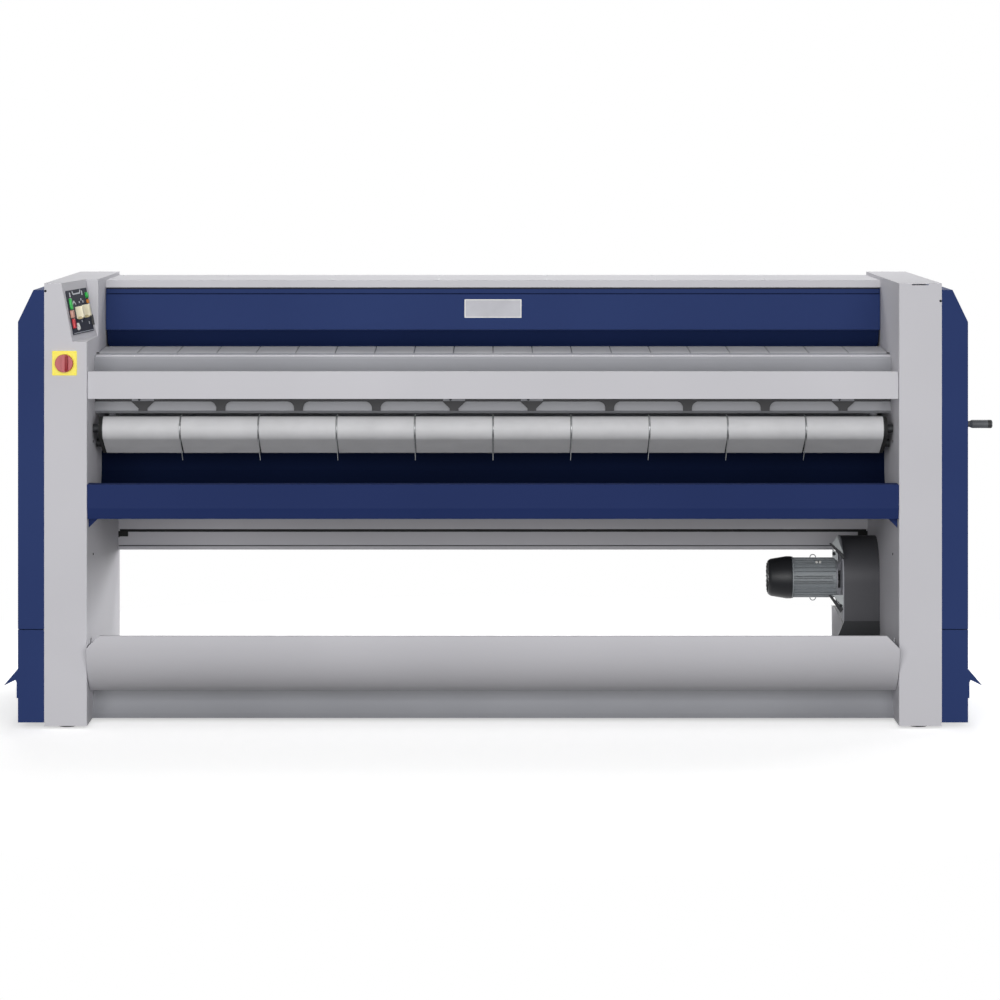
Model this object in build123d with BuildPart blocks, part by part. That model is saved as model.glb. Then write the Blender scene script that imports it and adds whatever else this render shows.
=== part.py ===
from build123d import *

import math
import os

os.makedirs("parts", exist_ok=True)

# Flatwork ironer: linen goes in over the feed belts, round the heated cylinder under the ironing
# belts, and comes back to the same side over the return belts, into the tray.
# Millimetres. X is to the right seen from the feeding side, Y to the rear, Z up.
# The origin is on the floor, midway between the columns and midway through their depth.

# Stand
opening_width = 2900
column_width = 153
column_rim = 13
rear_inset = 52
foot_height = 10
casing_sheet = 3
casing_edge_radius = 5
side_plate = 12
side_plate_setback = 40
side_plate_drop = 91
foot_flange_width = 110
lid_sheet = 3
thumb_notch_width = 60
thumb_notch_depth = 4
foot_pad_radius = 32
foot_stem_radius = 8
foot_stem_play = 0.5
foot_stem_top = 45
foot_inset = 70
cut_through = 12

# Service panels on the outer sides
panel_thickness = 94
panel_bottom = 22
lower_panel_height = 331
panel_split_gap = 3
panel_top_drop = 24
panel_flat_top = 39
panel_shoulder_drop = 114
panel_setback = 2
pull_split_drop = 139
pull_reach = 51
pull_drop = 60
pull_root_drop = 40
pull_root_reach = 9
pull_plate_reach = 5
pull_plate_height = 105

# Rolls: depth is counted from the front face of the columns, height from the floor
cylinder_depth = 790
cylinder_rise = 388
cylinder_radius = 240
cylinder_wall = 10
cylinder_end_gap = 20
cylinder_head = 20
cylinder_journal_radius = 60
cylinder_journal_bore = 40
belt_roller_radius = 40
belt_roller_wall = 4
roller_head = 12
roller_end_gap = 15
return_end_gap = 22
journal_radius = 15
journal_bore = 5
journal_play = 0.05
wall_hole_play = 4
nip_roller_angle = 100
lower_roller_angle = 210
rear_roller_reach = 250
rear_roller_rise = 63
tension_roller_drop = 60
nose_roller_depth = 308
nose_roller_radius = 36
nose_guide_gap = 54.5
feed_rear_angle = 129.6
feed_rear_gap = 7.45
feed_rear_roller_radius = 19
return_roller_depth = 205
return_roller_drop = 43.5
return_roller_radius = 40
return_tail_reach = 125
return_tail_drop = 62.5
return_tail_radius = 33.5

# Belts
belt_thickness = 3
belt_gap = 0.5
wide_belt_count = 10
wide_belt_margin = 34
wide_belt_space = 6.2
feed_belt_count = 20
feed_belt_space = 4

# Bearings, sprockets and chains
bearing_width = 28
bearing_ring = 18
cylinder_bearing_ring = 38
sprocket_gap = 8
sprocket_width = 8
cylinder_sprocket_radius = 150
lower_sprocket_radius = 31.4
chain_thickness = 7

# Heating rods inside the cylinder
carrier_radius = 30
rod_count = 9
rod_circle_radius = 150
rod_radius = 8
rod_end_gap = 100
spider_count = 4
spider_inset = 67.5
spider_thickness = 4
carrier_strap_gap = 14
carrier_strap_width = 50
carrier_strap_sheet = 6
carrier_strap_clearance = 20

# Sheet metal between the columns
cross_sheet = 3
end_gap = 2
beam_height = 124
beam_bend_rise = 39
beam_bend_setback = 12
beam_flange = 60
gusset_drop = 36
gusset_width = 36
gusset_depth = 66
gusset_thickness = 12
rail_setback = 10
rail_guide_rise = 88
rail_height = 96.5
rail_flange = 35
rail_corner_radius = 3
top_cover_overlap = 5
top_cover_height = 27
hood_top_gap = 2
hood_height = 156
hood_step_drop = 21
hood_step = 6
hood_feed_rise = 85
hood_flange = 60
guard_reach = 26
guard_drop = 57
guard_sheet = 2
guard_hem_radius = 4
guard_hinge_radius = 4
guard_corner = 10
guard_end_play = 4
name_plate_width = 213
name_plate_height = 69
name_plate_thickness = 2
name_plate_drop = 77
plate_corner_radius = 4
rear_panel_gap = 14.5
rear_slot = 10.5
rear_rail_drop = 127
rear_rail_step_drop = 51
rear_rail_step = 6
rear_rail_lip = 17
rear_rail_flange = 45
apron_gap = 10.5
apron_height = 240
apron_bend_rise = 167
apron_knee_setback = 22
apron_knee_rise = 108
belly_setback = 38
fan_belly_gap = 109
base_depth = 219
base_bottom = 14
base_height = 104
base_flange = 138
base_sweep = 66
base_cove_depth = 18
base_cove_rise = 42

# Feed table plate, guide plate, brackets, wires and stripper
table_gap = 1
table_front_reach = 44
lip_gap = 1.5
lip_rear_reach = 5
lip_front_reach = 65
lip_fall = 7.5
lip_drop = 75
lip_lean = 9
lip_flange = 10
lip_round = 9
table_rear_reach = 26
guide_reach = 57
guide_rise = 60.5
guide_height = 69
guide_lip_reach = 13
guide_lip_height = 10
bracket_thickness = 14
bracket_top_width = 84
bracket_height = 49
bracket_head_height = 15
bracket_neck_height = 25
bracket_stem_width = 32
plain_brackets = [0, 4, 5, 9]
wire_radius = 1.5
wire_tail_reach = 85
wire_tail_drop = 122
stripper_front_gap = 5
stripper_drop = 84
stripper_clearance = 6
stripper_lip = 24

# Receiving tray
tray_sheet = 3
tray_base_gap = 7
tray_rim_reach = 58
tray_rim_rise = 214
tray_keel_depth = 87
tray_bulge_reach = 15
tray_bulge_rise = 87
tray_floor_rear = 330
tray_rear_depth = 470
tray_rear_rise = 125
tray_hem = 14
tray_corner_cut = 47
tray_tab_width = 26

# Exhaust fan
fan_reach = 10
fan_rise = 345
fan_scroll_radius = 158
fan_sheet = 3
fan_width = 134
fan_outlet_depth = 165
fan_outlet_drop = 145
fan_suction_radius = 95
fan_plate_thickness = 5
fan_plate_rim = 2
fan_shaft_radius = 12
impeller_radius = 120
impeller_blades = 18
impeller_blade_length = 40
impeller_width = 90
impeller_plate = 6
impeller_hub_radius = 24
impeller_hub_length = 45
impeller_side_play = 12
motor_radius = 66
motor_fin_height = 9.5
motor_fin_width = 4
motor_fins = 28
motor_body_length = 161
motor_cowl_length = 91
motor_cowl_taper = 18
motor_cowl_shoulder = 35
motor_cowl_fall = 5.4
motor_cowl_lip = 3
motor_standoff = 15
motor_eye_place = 77
motor_eye_radius = 11
motor_eye_wire = 1.6
motor_arm_width = 40
motor_arm_reach = 62
duct_flare = 40
duct_flare_length = 100
duct_bottom = 100
duct_rear_inset = 50
spigot_radius = 50
spigot_shift = 7
spigot_rise = 100
spigot_sheet = 2
spigot_reach = 55

# Drive
gearbox_width = 90
gearbox_height = 220
gearbox_depth = 180
gearbox_corner_radius = 20
drive_motor_radius = 68
drive_motor_fin = 6
drive_motor_length = 250
crank_depth = 150
crank_shaft_drop = 83
crank_shaft_radius = 10
crank_shaft_play = 1
crank_arm_length = 120
crank_arm_width = 26
crank_arm_thickness = 10
crank_arm_gap = 3
crank_pin_radius = 6
crank_pin_play = 0.08
crank_grip_radius = 15
crank_grip_length = 92
crank_grip_taper = 10
crank_grip_round = 4
crank_grip_gap = 1

# Electrics on the left column
switch_plate_size = 88
switch_plate_thickness = 5
switch_offset = 80
switch_drop = 77
switch_knob_radius = 32
switch_knob_depth = 18
switch_knob_round = 2
switch_grip_width = 13
switch_grip_depth = 16
switch_shaft_radius = 5
switch_gap = 0.5
recess_front_inset = 92
recess_rear_inset = 45
recess_depth = 371
recess_height = 208
recess_lean = 40
recess_room = 9
control_length = 310
control_height = 160
control_thickness = 3
control_corner_radius = 6
control_centre_depth = 183
control_drop = 108
key_travel = 2
key_gap = 0.4
key_hole_play = 0.4
key_edge_radius = 3
inlet_width = 90
inlet_depth = 120
inlet_height = 160
inlet_corner_radius = 8
inlet_rear_inset = 110
inlet_drop = 20
gland_radius = 22
gland_bore = 14
gland_length = 40

# Widths and depths worked out from the sizes above
inner_x = opening_width / 2
outer_x = inner_x + column_width
panel_x = outer_x + panel_thickness
plate_inner_x = inner_x + casing_sheet
plate_outer_x = plate_inner_x + side_plate
bearing_outer_x = plate_outer_x + bearing_width
sprocket_x = bearing_outer_x + sprocket_gap
cross_width = opening_width - 2 * end_gap
cylinder_face = opening_width - 2 * cylinder_end_gap
roller_face = opening_width - 2 * roller_end_gap
return_face = opening_width - 2 * return_end_gap
wide_belt_pitch = (opening_width - 2 * wide_belt_margin) / wide_belt_count
wide_belt_width = wide_belt_pitch - wide_belt_space
feed_belt_pitch = opening_width / feed_belt_count
feed_belt_width = feed_belt_pitch - feed_belt_space
rod_length = opening_width - 2 * rod_end_gap
spider_pitch = (rod_length - 2 * spider_inset) / (spider_count - 1)
belt_build = belt_gap + belt_thickness
nose_wrap = nose_roller_radius + belt_build
return_wrap = return_roller_radius + belt_build
nose_sprocket_radius = cylinder_sprocket_radius * nose_wrap / (cylinder_radius + belt_build)
return_sprocket_radius = lower_sprocket_radius * return_wrap / (belt_roller_radius + belt_build)
rear_roller_depth = cylinder_depth + rear_roller_reach
rear_panel_depth = rear_roller_depth + belt_roller_radius + belt_build + rear_panel_gap
column_depth = rear_panel_depth + rear_inset
front_y = -column_depth / 2
rear_y = column_depth / 2
return_tail_depth = return_roller_depth + return_tail_reach
stripper_front = return_tail_depth + return_tail_radius + belt_build + stripper_front_gap
guide_depth = return_roller_depth + guide_reach
guide_lip_depth = guide_depth + guide_lip_reach
fan_depth = cylinder_depth + fan_reach
duct_rear_depth = column_depth - duct_rear_inset
inlet_centre_depth = column_depth - inlet_rear_inset


def place(depth, height):
    # A point across the machine, depth counted from the front of the columns.
    return (front_y + depth, height)


def polar(centre, radius, degrees):
    angle = math.radians(degrees)
    return (centre[0] + radius * math.cos(angle), centre[1] + radius * math.sin(angle))


# Heights near the floor
base_top = base_bottom + base_height
tray_keel_height = base_top + tray_base_gap
tray_bulge_height = tray_keel_height + tray_bulge_rise
tray_rear_height = tray_keel_height + tray_rear_rise
tray_rim_height = tray_keel_height + tray_rim_rise
panel_split_height = panel_bottom + lower_panel_height
pull_top = panel_split_height - pull_split_drop
pull_plate_bottom = pull_top - pull_plate_height
spigot_height = duct_bottom + spigot_rise
fan_height = duct_bottom + fan_rise
fan_outlet_height = fan_height - fan_outlet_drop
duct_flare_height = fan_outlet_height - duct_flare_length

# The belly pan clears the fan, and the sheets and rolls above stand on it
belly_height = fan_height + fan_scroll_radius + fan_belly_gap
rear_rail_top = belly_height - rear_rail_drop
rear_rail_step_height = rear_rail_top - rear_rail_step_drop
rear_rail_bottom = rear_rail_step_height - rear_rail_lip
rear_panel_bottom = rear_rail_top + rear_slot
beam_bottom = belly_height + gusset_drop
beam_bend = beam_bottom + beam_bend_rise
beam_top = beam_bottom + beam_height
apron_knee = belly_height + apron_knee_rise
apron_bend = belly_height + apron_bend_rise
apron_top = belly_height + apron_height
cylinder_height = belly_height + cylinder_rise
rear_roller_height = belly_height + rear_roller_rise

# The return rolls hang from the cylinder's axis, and the guide plate, the front rail and the nose
# of the feed table are stacked above them
return_roller_height = cylinder_height - return_roller_drop
return_tail_height = return_roller_height - return_tail_drop
stripper_height = cylinder_height - stripper_drop
guide_bend = return_roller_height + guide_rise
guide_top = guide_bend + guide_height
guide_lip_bottom = guide_bend - guide_lip_height
bracket_top = guide_bend + bracket_height
bracket_shoulder = bracket_top - bracket_head_height
bracket_stem_top = bracket_shoulder - bracket_neck_height
rail_top = guide_top + rail_guide_rise
rail_bottom = rail_top - rail_height
nose_roller_height = guide_top + nose_guide_gap + nose_roller_radius + belt_build
crank_shaft_height = nose_roller_height - crank_shaft_drop
inlet_centre_height = cylinder_height - inlet_drop

# Rolls round the cylinder
cylinder_centre = place(cylinder_depth, cylinder_height)
nip_distance = cylinder_radius + belt_roller_radius + belt_gap + belt_build
nip_centre = polar(cylinder_centre, nip_distance, nip_roller_angle)
lower_centre = polar(cylinder_centre, nip_distance, lower_roller_angle)
feed_rear_distance = cylinder_radius + feed_rear_gap + belt_build + feed_rear_roller_radius
feed_rear_centre = polar(cylinder_centre, feed_rear_distance, feed_rear_angle)
feed_rear_depth = feed_rear_centre[0] - front_y
table_front = nose_roller_depth + table_front_reach
table_rear = feed_rear_depth - table_rear_reach
apron_depth = lower_centre[0] - front_y - belt_roller_radius - belt_build - apron_gap
belly_front = apron_depth - belly_setback

# The hood hangs over the end of the feed table, and the columns end above its cover
top_cover_depth = feed_rear_depth + top_cover_overlap
hood_bottom = feed_rear_centre[1] + hood_feed_rise
hood_top = hood_bottom + hood_height
hood_step_height = hood_top - hood_step_drop
name_plate_centre_height = hood_top - name_plate_drop
top_cover_bottom = hood_top + hood_top_gap
top_cover_top = top_cover_bottom + top_cover_height
column_top = top_cover_top + column_rim
casing_top = column_top - lid_sheet
panel_top = column_top - panel_top_drop
side_plate_top = column_top - side_plate_drop
tension_roller_height = side_plate_top - tension_roller_drop
recess_bottom = column_top - recess_height
switch_height = recess_bottom - switch_drop
control_centre_height = column_top - control_drop

rear_centre = place(rear_roller_depth, rear_roller_height)
tension_centre = place(rear_roller_depth, tension_roller_height)
nose_centre = place(nose_roller_depth, nose_roller_height)
return_centre = place(return_roller_depth, return_roller_height)
tail_centre = place(return_tail_depth, return_tail_height)
fan_centre = place(fan_depth, fan_height)
crank_centre = place(crank_depth, crank_shaft_height)
roller_centres = [
    nip_centre,
    lower_centre,
    rear_centre,
    tension_centre,
    nose_centre,
    feed_rear_centre,
    return_centre,
    tail_centre,
]


def finish(piece, label):
    piece.part.label = label
    export_step(piece.part, f"parts/{label}.step")


# Belts and chains run counterclockwise, seen from the right, round a list of stations: each is a
# centre and a radius, and a negative radius is a drum that the belt wraps from outside.
def run_headings(stations):
    headings = []
    for index, (start, start_radius) in enumerate(stations):
        end, end_radius = stations[(index + 1) % len(stations)]
        along = (end[0] - start[0], end[1] - start[1])
        length = math.hypot(*along)
        lean = math.asin(max(-1, min(1, (start_radius - end_radius) / length)))
        headings.append(math.atan2(along[1], along[0]) - math.pi / 2 + lean)
    return headings


def loop_line(stations, outward):
    headings = run_headings(stations)
    arcs = []
    for index, (centre, radius) in enumerate(stations):
        start = headings[index - 1]
        turn = (headings[index] - start) % (2 * math.pi)
        if radius < 0:
            turn -= 2 * math.pi
        reach = radius + outward
        angles = [start, start + turn / 2, start + turn]
        arcs.append([(centre[0] + reach * math.cos(a), centre[1] + reach * math.sin(a)) for a in angles])
    for index, arc in enumerate(arcs):
        before = arcs[index - 1][2]
        if math.dist(before, arc[0]) < 0.001:
            arc[0] = before
        else:
            Line(before, arc[0])
        ThreePointArc(*arc)


def belt_section(stations, thickness, x):
    with BuildSketch(Plane.YZ.offset(x)) as section:
        with BuildLine():
            loop_line(stations, thickness)
        make_face()
        with BuildLine():
            loop_line(stations, 0)
        make_face(mode=Mode.SUBTRACT)
    return section.sketch


def belt_loops(stations, thickness, width, centres):
    for centre_x in centres:
        extrude(belt_section(stations, thickness, centre_x - width / 2), amount=width)


def evenly(count, pitch):
    return [(index - (count - 1) / 2) * pitch for index in range(count)]


def strip(plane, points, sheet, side=Side.RIGHT):
    # The section of a bent sheet: its outer line and the sheet's thickness to one side.
    with BuildSketch(plane) as section:
        with BuildLine():
            outer = Polyline(*points)
            offset(outer, amount=sheet, side=side, kind=Kind.INTERSECTION)
        make_face()
    return section.sketch


def cross_plane(half_width):
    return Plane.YZ.offset(-half_width)


# Side frames: thick plates with a foot flange, drilled for every journal. They carry the bearings.
def side_frame(side):
    start_x = plate_inner_x if side > 0 else -plate_outer_x
    plate_length = column_depth - 2 * side_plate_setback
    flange_x = side * (plate_inner_x + foot_flange_width / 2)
    with BuildPart() as frame:
        with BuildSketch(Plane.YZ.offset(start_x)):
            with Locations((0, (foot_height + casing_sheet + side_plate_top) / 2)):
                Rectangle(plate_length, side_plate_top - foot_height - casing_sheet)
            with Locations(*roller_centres):
                Circle(journal_radius + wall_hole_play, mode=Mode.SUBTRACT)
            with Locations(cylinder_centre):
                Circle(cylinder_journal_radius + wall_hole_play, mode=Mode.SUBTRACT)
            if side > 0:
                with Locations(fan_centre):
                    Circle(fan_suction_radius, mode=Mode.SUBTRACT)
                with Locations(crank_centre):
                    Circle(crank_shaft_radius + wall_hole_play, mode=Mode.SUBTRACT)
            else:
                notch_depth = 2 * (recess_depth + recess_room)
                notch_height = 2 * (side_plate_top - recess_bottom + recess_room)
                with Locations((front_y, side_plate_top)):
                    Rectangle(notch_depth, notch_height, mode=Mode.SUBTRACT)
        extrude(amount=side_plate)
        with BuildSketch(Plane.XY.offset(foot_height + casing_sheet)):
            with Locations((flange_x, 0)):
                Rectangle(foot_flange_width, plate_length)
        extrude(amount=side_plate)
        with BuildSketch(Plane.XY.offset(foot_height)):
            with Locations(*foot_places(side)):
                Circle(foot_stem_radius + foot_stem_play)
        extrude(amount=casing_sheet + side_plate, mode=Mode.SUBTRACT)
    return frame


def foot_places(side):
    foot_x = side * (inner_x + column_width / 2)
    foot_y = column_depth / 2 - foot_inset
    return [(foot_x, -foot_y), (foot_x, foot_y)]


left_side_frame = side_frame(-1)
finish(left_side_frame, "left_side_frame")

right_side_frame = side_frame(1)
finish(right_side_frame, "right_side_frame")


# The recess for the controls cuts the left column's inner, top, front corner. Its panel faces the
# operator's place: inwards, a little forwards and a little up.
panel_front_top = Vector(-(inner_x + recess_front_inset), front_y, column_top)
panel_rear_top = Vector(-(inner_x + recess_rear_inset), front_y + recess_depth, column_top)
panel_front_low = Vector(panel_front_top.X + recess_lean, front_y, recess_bottom)
panel_along = (panel_rear_top - panel_front_top).normalized()
panel_normal = (panel_front_low - panel_front_top).cross(panel_along).normalized()


def recess_space(grow):
    # The recess, or the same space grown into the column by the sheet's thickness.
    block_width = 4 * recess_front_inset
    with BuildPart(mode=Mode.PRIVATE) as space:
        with BuildSketch(Plane.XY.offset(recess_bottom - grow)):
            with Locations((-inner_x, front_y + recess_depth + grow)):
                Rectangle(block_width, 2 * recess_depth + 2 * grow, align=(Align.CENTER, Align.MAX))
        extrude(amount=column_top)
        split(bisect_by=Plane(origin=panel_front_top - panel_normal * grow, z_dir=panel_normal))
    return space.part


def column_cover(side):
    centre_x = side * (inner_x + column_width / 2)
    with BuildPart() as cover:
        with BuildSketch(Plane.XY.offset(foot_height)):
            with Locations((centre_x, 0)):
                Rectangle(column_width, column_depth)
        extrude(amount=casing_top - foot_height)
        inner_edges = cover.edges().filter_by(Axis.Z).group_by(Axis.X)[0 if side > 0 else -1]
        fillet(inner_edges, casing_edge_radius)
        if side < 0:
            add(recess_space(0), mode=Mode.SUBTRACT)
        with BuildPart(mode=Mode.PRIVATE) as hollow:
            with BuildSketch(Plane.XY.offset(foot_height + casing_sheet)):
                with Locations((centre_x + side * casing_sheet, 0)):
                    Rectangle(column_width, column_depth - 2 * casing_sheet)
            extrude(amount=casing_top)
            if side < 0:
                add(recess_space(casing_sheet), mode=Mode.SUBTRACT)
        add(hollow.part, mode=Mode.SUBTRACT)
        with BuildSketch(Plane.YZ.offset(-plate_inner_x if side < 0 else inner_x)):
            with Locations(*roller_centres):
                Circle(journal_radius + wall_hole_play)
            with Locations(cylinder_centre):
                Circle(cylinder_journal_radius + wall_hole_play)
            if side > 0:
                with Locations(fan_centre):
                    Circle(fan_suction_radius)
        extrude(amount=casing_sheet, mode=Mode.SUBTRACT)
        with BuildSketch(Plane.XY.offset(foot_height)):
            with Locations(*foot_places(side)):
                Circle(foot_stem_radius + foot_stem_play)
        extrude(amount=casing_sheet, mode=Mode.SUBTRACT)
        if side > 0:
            with Locations((centre_x, front_y, casing_top)):
                Box(thumb_notch_width, cut_through, 2 * thumb_notch_depth, mode=Mode.SUBTRACT)
        else:
            with Locations((-inner_x - switch_offset, front_y + casing_sheet / 2, switch_height)):
                Cylinder(
                    switch_shaft_radius + switch_gap,
                    cut_through,
                    rotation=(90, 0, 0),
                    mode=Mode.SUBTRACT,
                )
    return cover


left_column_cover = column_cover(-1)
finish(left_column_cover, "left_column_cover")

right_column_cover = column_cover(1)
finish(right_column_cover, "right_column_cover")

with BuildPart() as column_caps:
    for side in (-1, 1):
        with BuildSketch(Plane.XY.offset(casing_top)):
            with Locations((side * (inner_x + column_width / 2), 0)):
                Rectangle(column_width, column_depth)
        extrude(amount=lid_sheet)
    add(recess_space(0), mode=Mode.SUBTRACT)
finish(column_caps, "column_caps")


# Service panels: folded pans, open towards the column. The lower ones have the pull wing.
def panel_section(side, bottom, top, inset, shoulder):
    reach = panel_x - inset
    points = [(side * outer_x, bottom + inset), (side * reach, bottom + inset)]
    if shoulder:
        points.append((side * reach, top - panel_shoulder_drop - inset / 2))
        points.append((side * (outer_x + panel_flat_top - inset / 2), top - inset))
    else:
        points.append((side * reach, top - inset))
    points.append((side * outer_x, top - inset))
    return points


def side_panel(side, bottom, top, shoulder):
    length = column_depth - 2 * panel_setback
    with BuildPart() as panel:
        with BuildSketch(Plane.XZ.offset(-rear_y + panel_setback)):
            with BuildLine():
                Polyline(*panel_section(side, bottom, top, 0, shoulder), close=True)
            make_face()
        extrude(amount=length)
        with BuildSketch(Plane.XZ.offset(-rear_y + panel_setback + casing_sheet)):
            with BuildLine():
                Polyline(*panel_section(side, bottom, top, casing_sheet, shoulder), close=True)
            make_face()
        extrude(amount=length - 2 * casing_sheet, mode=Mode.SUBTRACT)
        if not shoulder:
            with BuildSketch(Plane.XZ.offset(-rear_y + panel_setback)):
                with BuildLine():
                    Polyline(
                        (side * panel_x, pull_top),
                        (side * (panel_x + pull_reach), pull_top - pull_drop),
                        (side * (panel_x + pull_root_reach), pull_top - pull_root_drop),
                        (side * (panel_x + pull_plate_reach), pull_top - pull_root_drop - pull_root_reach),
                        (side * (panel_x + pull_plate_reach), pull_plate_bottom),
                        (side * panel_x, pull_plate_bottom),
                        close=True,
                    )
                make_face()
            extrude(amount=length)
        elif side > 0:
            with Locations((panel_x, *crank_centre)):
                Cylinder(
                    crank_shaft_radius + crank_shaft_play,
                    cut_through,
                    rotation=(0, 90, 0),
                    mode=Mode.SUBTRACT,
                )
    return panel


upper_panel_bottom = panel_split_height + panel_split_gap

left_upper_panel = side_panel(-1, upper_panel_bottom, panel_top, True)
finish(left_upper_panel, "left_upper_panel")

right_upper_panel = side_panel(1, upper_panel_bottom, panel_top, True)
finish(right_upper_panel, "right_upper_panel")

left_lower_panel = side_panel(-1, panel_bottom, panel_split_height, False)
finish(left_lower_panel, "left_lower_panel")

right_lower_panel = side_panel(1, panel_bottom, panel_split_height, False)
finish(right_lower_panel, "right_lower_panel")

# Levelling feet: a pad and a stem under each corner.
with BuildPart() as levelling_feet:
    for side in (-1, 1):
        with BuildSketch():
            with Locations(*foot_places(side)):
                Circle(foot_pad_radius)
        extrude(amount=foot_height)
        with BuildSketch():
            with Locations(*foot_places(side)):
                Circle(foot_stem_radius)
        extrude(amount=foot_stem_top)
finish(levelling_feet, "levelling_feet")

# Cover across the top, a shallow lid with front and rear skirts.
with BuildPart() as top_cover:
    cover_front = front_y + top_cover_depth
    section = strip(
        cross_plane(inner_x),
        [
            (cover_front, top_cover_bottom),
            (cover_front, top_cover_top),
            (rear_y, top_cover_top),
            (rear_y, top_cover_bottom),
        ],
        cross_sheet,
    )
    extrude(section, amount=opening_width)
finish(top_cover, "top_cover")

# Hood: a folded sheet that hangs under the cover, with a step along its top.
hood_front = front_y + top_cover_depth
with BuildPart() as hood:
    section = strip(
        cross_plane(cross_width / 2),
        [
            (hood_front + hood_step + hood_flange, hood_top),
            (hood_front + hood_step, hood_top),
            (hood_front + hood_step, hood_step_height),
            (hood_front, hood_step_height),
            (hood_front, hood_bottom),
        ],
        cross_sheet,
        Side.LEFT,
    )
    extrude(section, amount=cross_width)
finish(hood, "hood")

with BuildPart() as name_plate:
    with BuildSketch(Plane.XZ.offset(-hood_front)):
        with Locations((0, name_plate_centre_height)):
            RectangleRounded(name_plate_width, name_plate_height, plate_corner_radius)
    extrude(amount=name_plate_thickness)
finish(name_plate, "name_plate")

# Finger guard: a flap on a rod under the hood. Pushed inwards it stops the machine.
guard_hinge = (hood_front + guard_hinge_radius, hood_bottom - guard_hinge_radius - belt_gap)
guard_tip = (guard_hinge[0] + guard_reach, guard_hinge[1] - guard_drop)
guard_width = cross_width - 2 * guard_end_play
with BuildPart() as finger_guard:
    with BuildSketch(cross_plane(guard_width / 2)):
        with BuildLine():
            flap = Line((guard_hinge[0] - guard_sheet / 2, guard_hinge[1]), guard_tip)
            offset(flap, amount=guard_sheet, side=Side.LEFT)
        make_face()
        with Locations(guard_hinge):
            Circle(guard_hinge_radius)
        with Locations(guard_tip):
            Circle(guard_hem_radius)
    extrude(amount=guard_width)
    with BuildSketch(Plane.XZ.offset(-hood_front - 2 * guard_reach)):
        for end in (-1, 1):
            corner_x = end * guard_width / 2
            low = guard_tip[1] - 2 * guard_hem_radius
            with BuildLine():
                Polyline(
                    (corner_x, low),
                    (corner_x - end * guard_corner, low),
                    (corner_x, low + 2 * guard_corner),
                    close=True,
                )
            make_face()
    extrude(amount=4 * guard_reach, both=True, mode=Mode.SUBTRACT)
finish(finger_guard, "finger_guard")

# Rear sheets: the tall panel, and under a slot the lower rail with its step.
rear_front = front_y + rear_panel_depth
with BuildPart() as rear_panel:
    section = strip(
        cross_plane(inner_x),
        [
            (rear_front + rear_rail_flange, top_cover_bottom),
            (rear_front, top_cover_bottom),
            (rear_front, rear_panel_bottom),
            (rear_front + rear_rail_flange, rear_panel_bottom),
        ],
        cross_sheet,
        Side.LEFT,
    )
    extrude(section, amount=opening_width)
finish(rear_panel, "rear_panel")

with BuildPart() as rear_lower_rail:
    section = strip(
        cross_plane(inner_x),
        [
            (rear_front + rear_rail_flange, rear_rail_top),
            (rear_front, rear_rail_top),
            (rear_front, rear_rail_step_height),
            (rear_front - rear_rail_step, rear_rail_step_height),
            (rear_front - rear_rail_step, rear_rail_bottom),
            (rear_front + rear_rail_flange, rear_rail_bottom),
        ],
        cross_sheet,
        Side.LEFT,
    )
    extrude(section, amount=opening_width)
finish(rear_lower_rail, "rear_lower_rail")

# Apron and belly pan in one sheet under the cylinder.
with BuildPart() as inner_apron:
    section = strip(
        cross_plane(inner_x),
        [
            place(apron_depth, apron_top),
            place(apron_depth, apron_bend),
            place(apron_depth - apron_knee_setback, apron_knee),
            place(belly_front, belly_height),
            place(rear_panel_depth, belly_height),
        ],
        cross_sheet,
        Side.LEFT,
    )
    extrude(section, amount=opening_width)
finish(inner_apron, "inner_apron")

# Front beam with its triangular end returns.
with BuildPart() as front_beam:
    section = strip(
        cross_plane(inner_x),
        [
            place(beam_flange, beam_top),
            place(0, beam_top),
            place(0, beam_bend),
            place(beam_bend_setback, beam_bottom),
            place(beam_flange, beam_bottom),
        ],
        cross_sheet,
        Side.LEFT,
    )
    extrude(section, amount=opening_width)
    with BuildSketch(Plane.XZ.offset(-front_y - gusset_depth)):
        for end in (-1, 1):
            with BuildLine():
                Polyline(
                    (end * inner_x, beam_top),
                    (end * inner_x, beam_bottom - gusset_drop),
                    (end * (inner_x - gusset_width), beam_bottom),
                    (end * (inner_x - gusset_width), beam_top),
                    close=True,
                )
            make_face()
    extrude(amount=gusset_thickness)
finish(front_beam, "front_beam")

# Front rail, a folded cover with rounded lower corners.
with BuildPart() as front_rail:
    section = strip(
        cross_plane(cross_width / 2),
        [
            place(rail_setback + rail_flange, rail_top),
            place(rail_setback, rail_top),
            place(rail_setback, rail_bottom),
            place(rail_setback + rail_flange, rail_bottom),
        ],
        cross_sheet,
        Side.LEFT,
    )
    extrude(section, amount=cross_width)
    with BuildSketch(Plane.XZ.offset(-front_y)) as rail_outline:
        with Locations((0, (rail_top + rail_bottom) / 2)):
            Rectangle(cross_width, rail_top - rail_bottom)
        fillet(rail_outline.vertices().group_by(Axis.Y)[0], rail_corner_radius)
    extrude(amount=-4 * rail_flange, mode=Mode.INTERSECT)
finish(front_rail, "front_rail")

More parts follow.
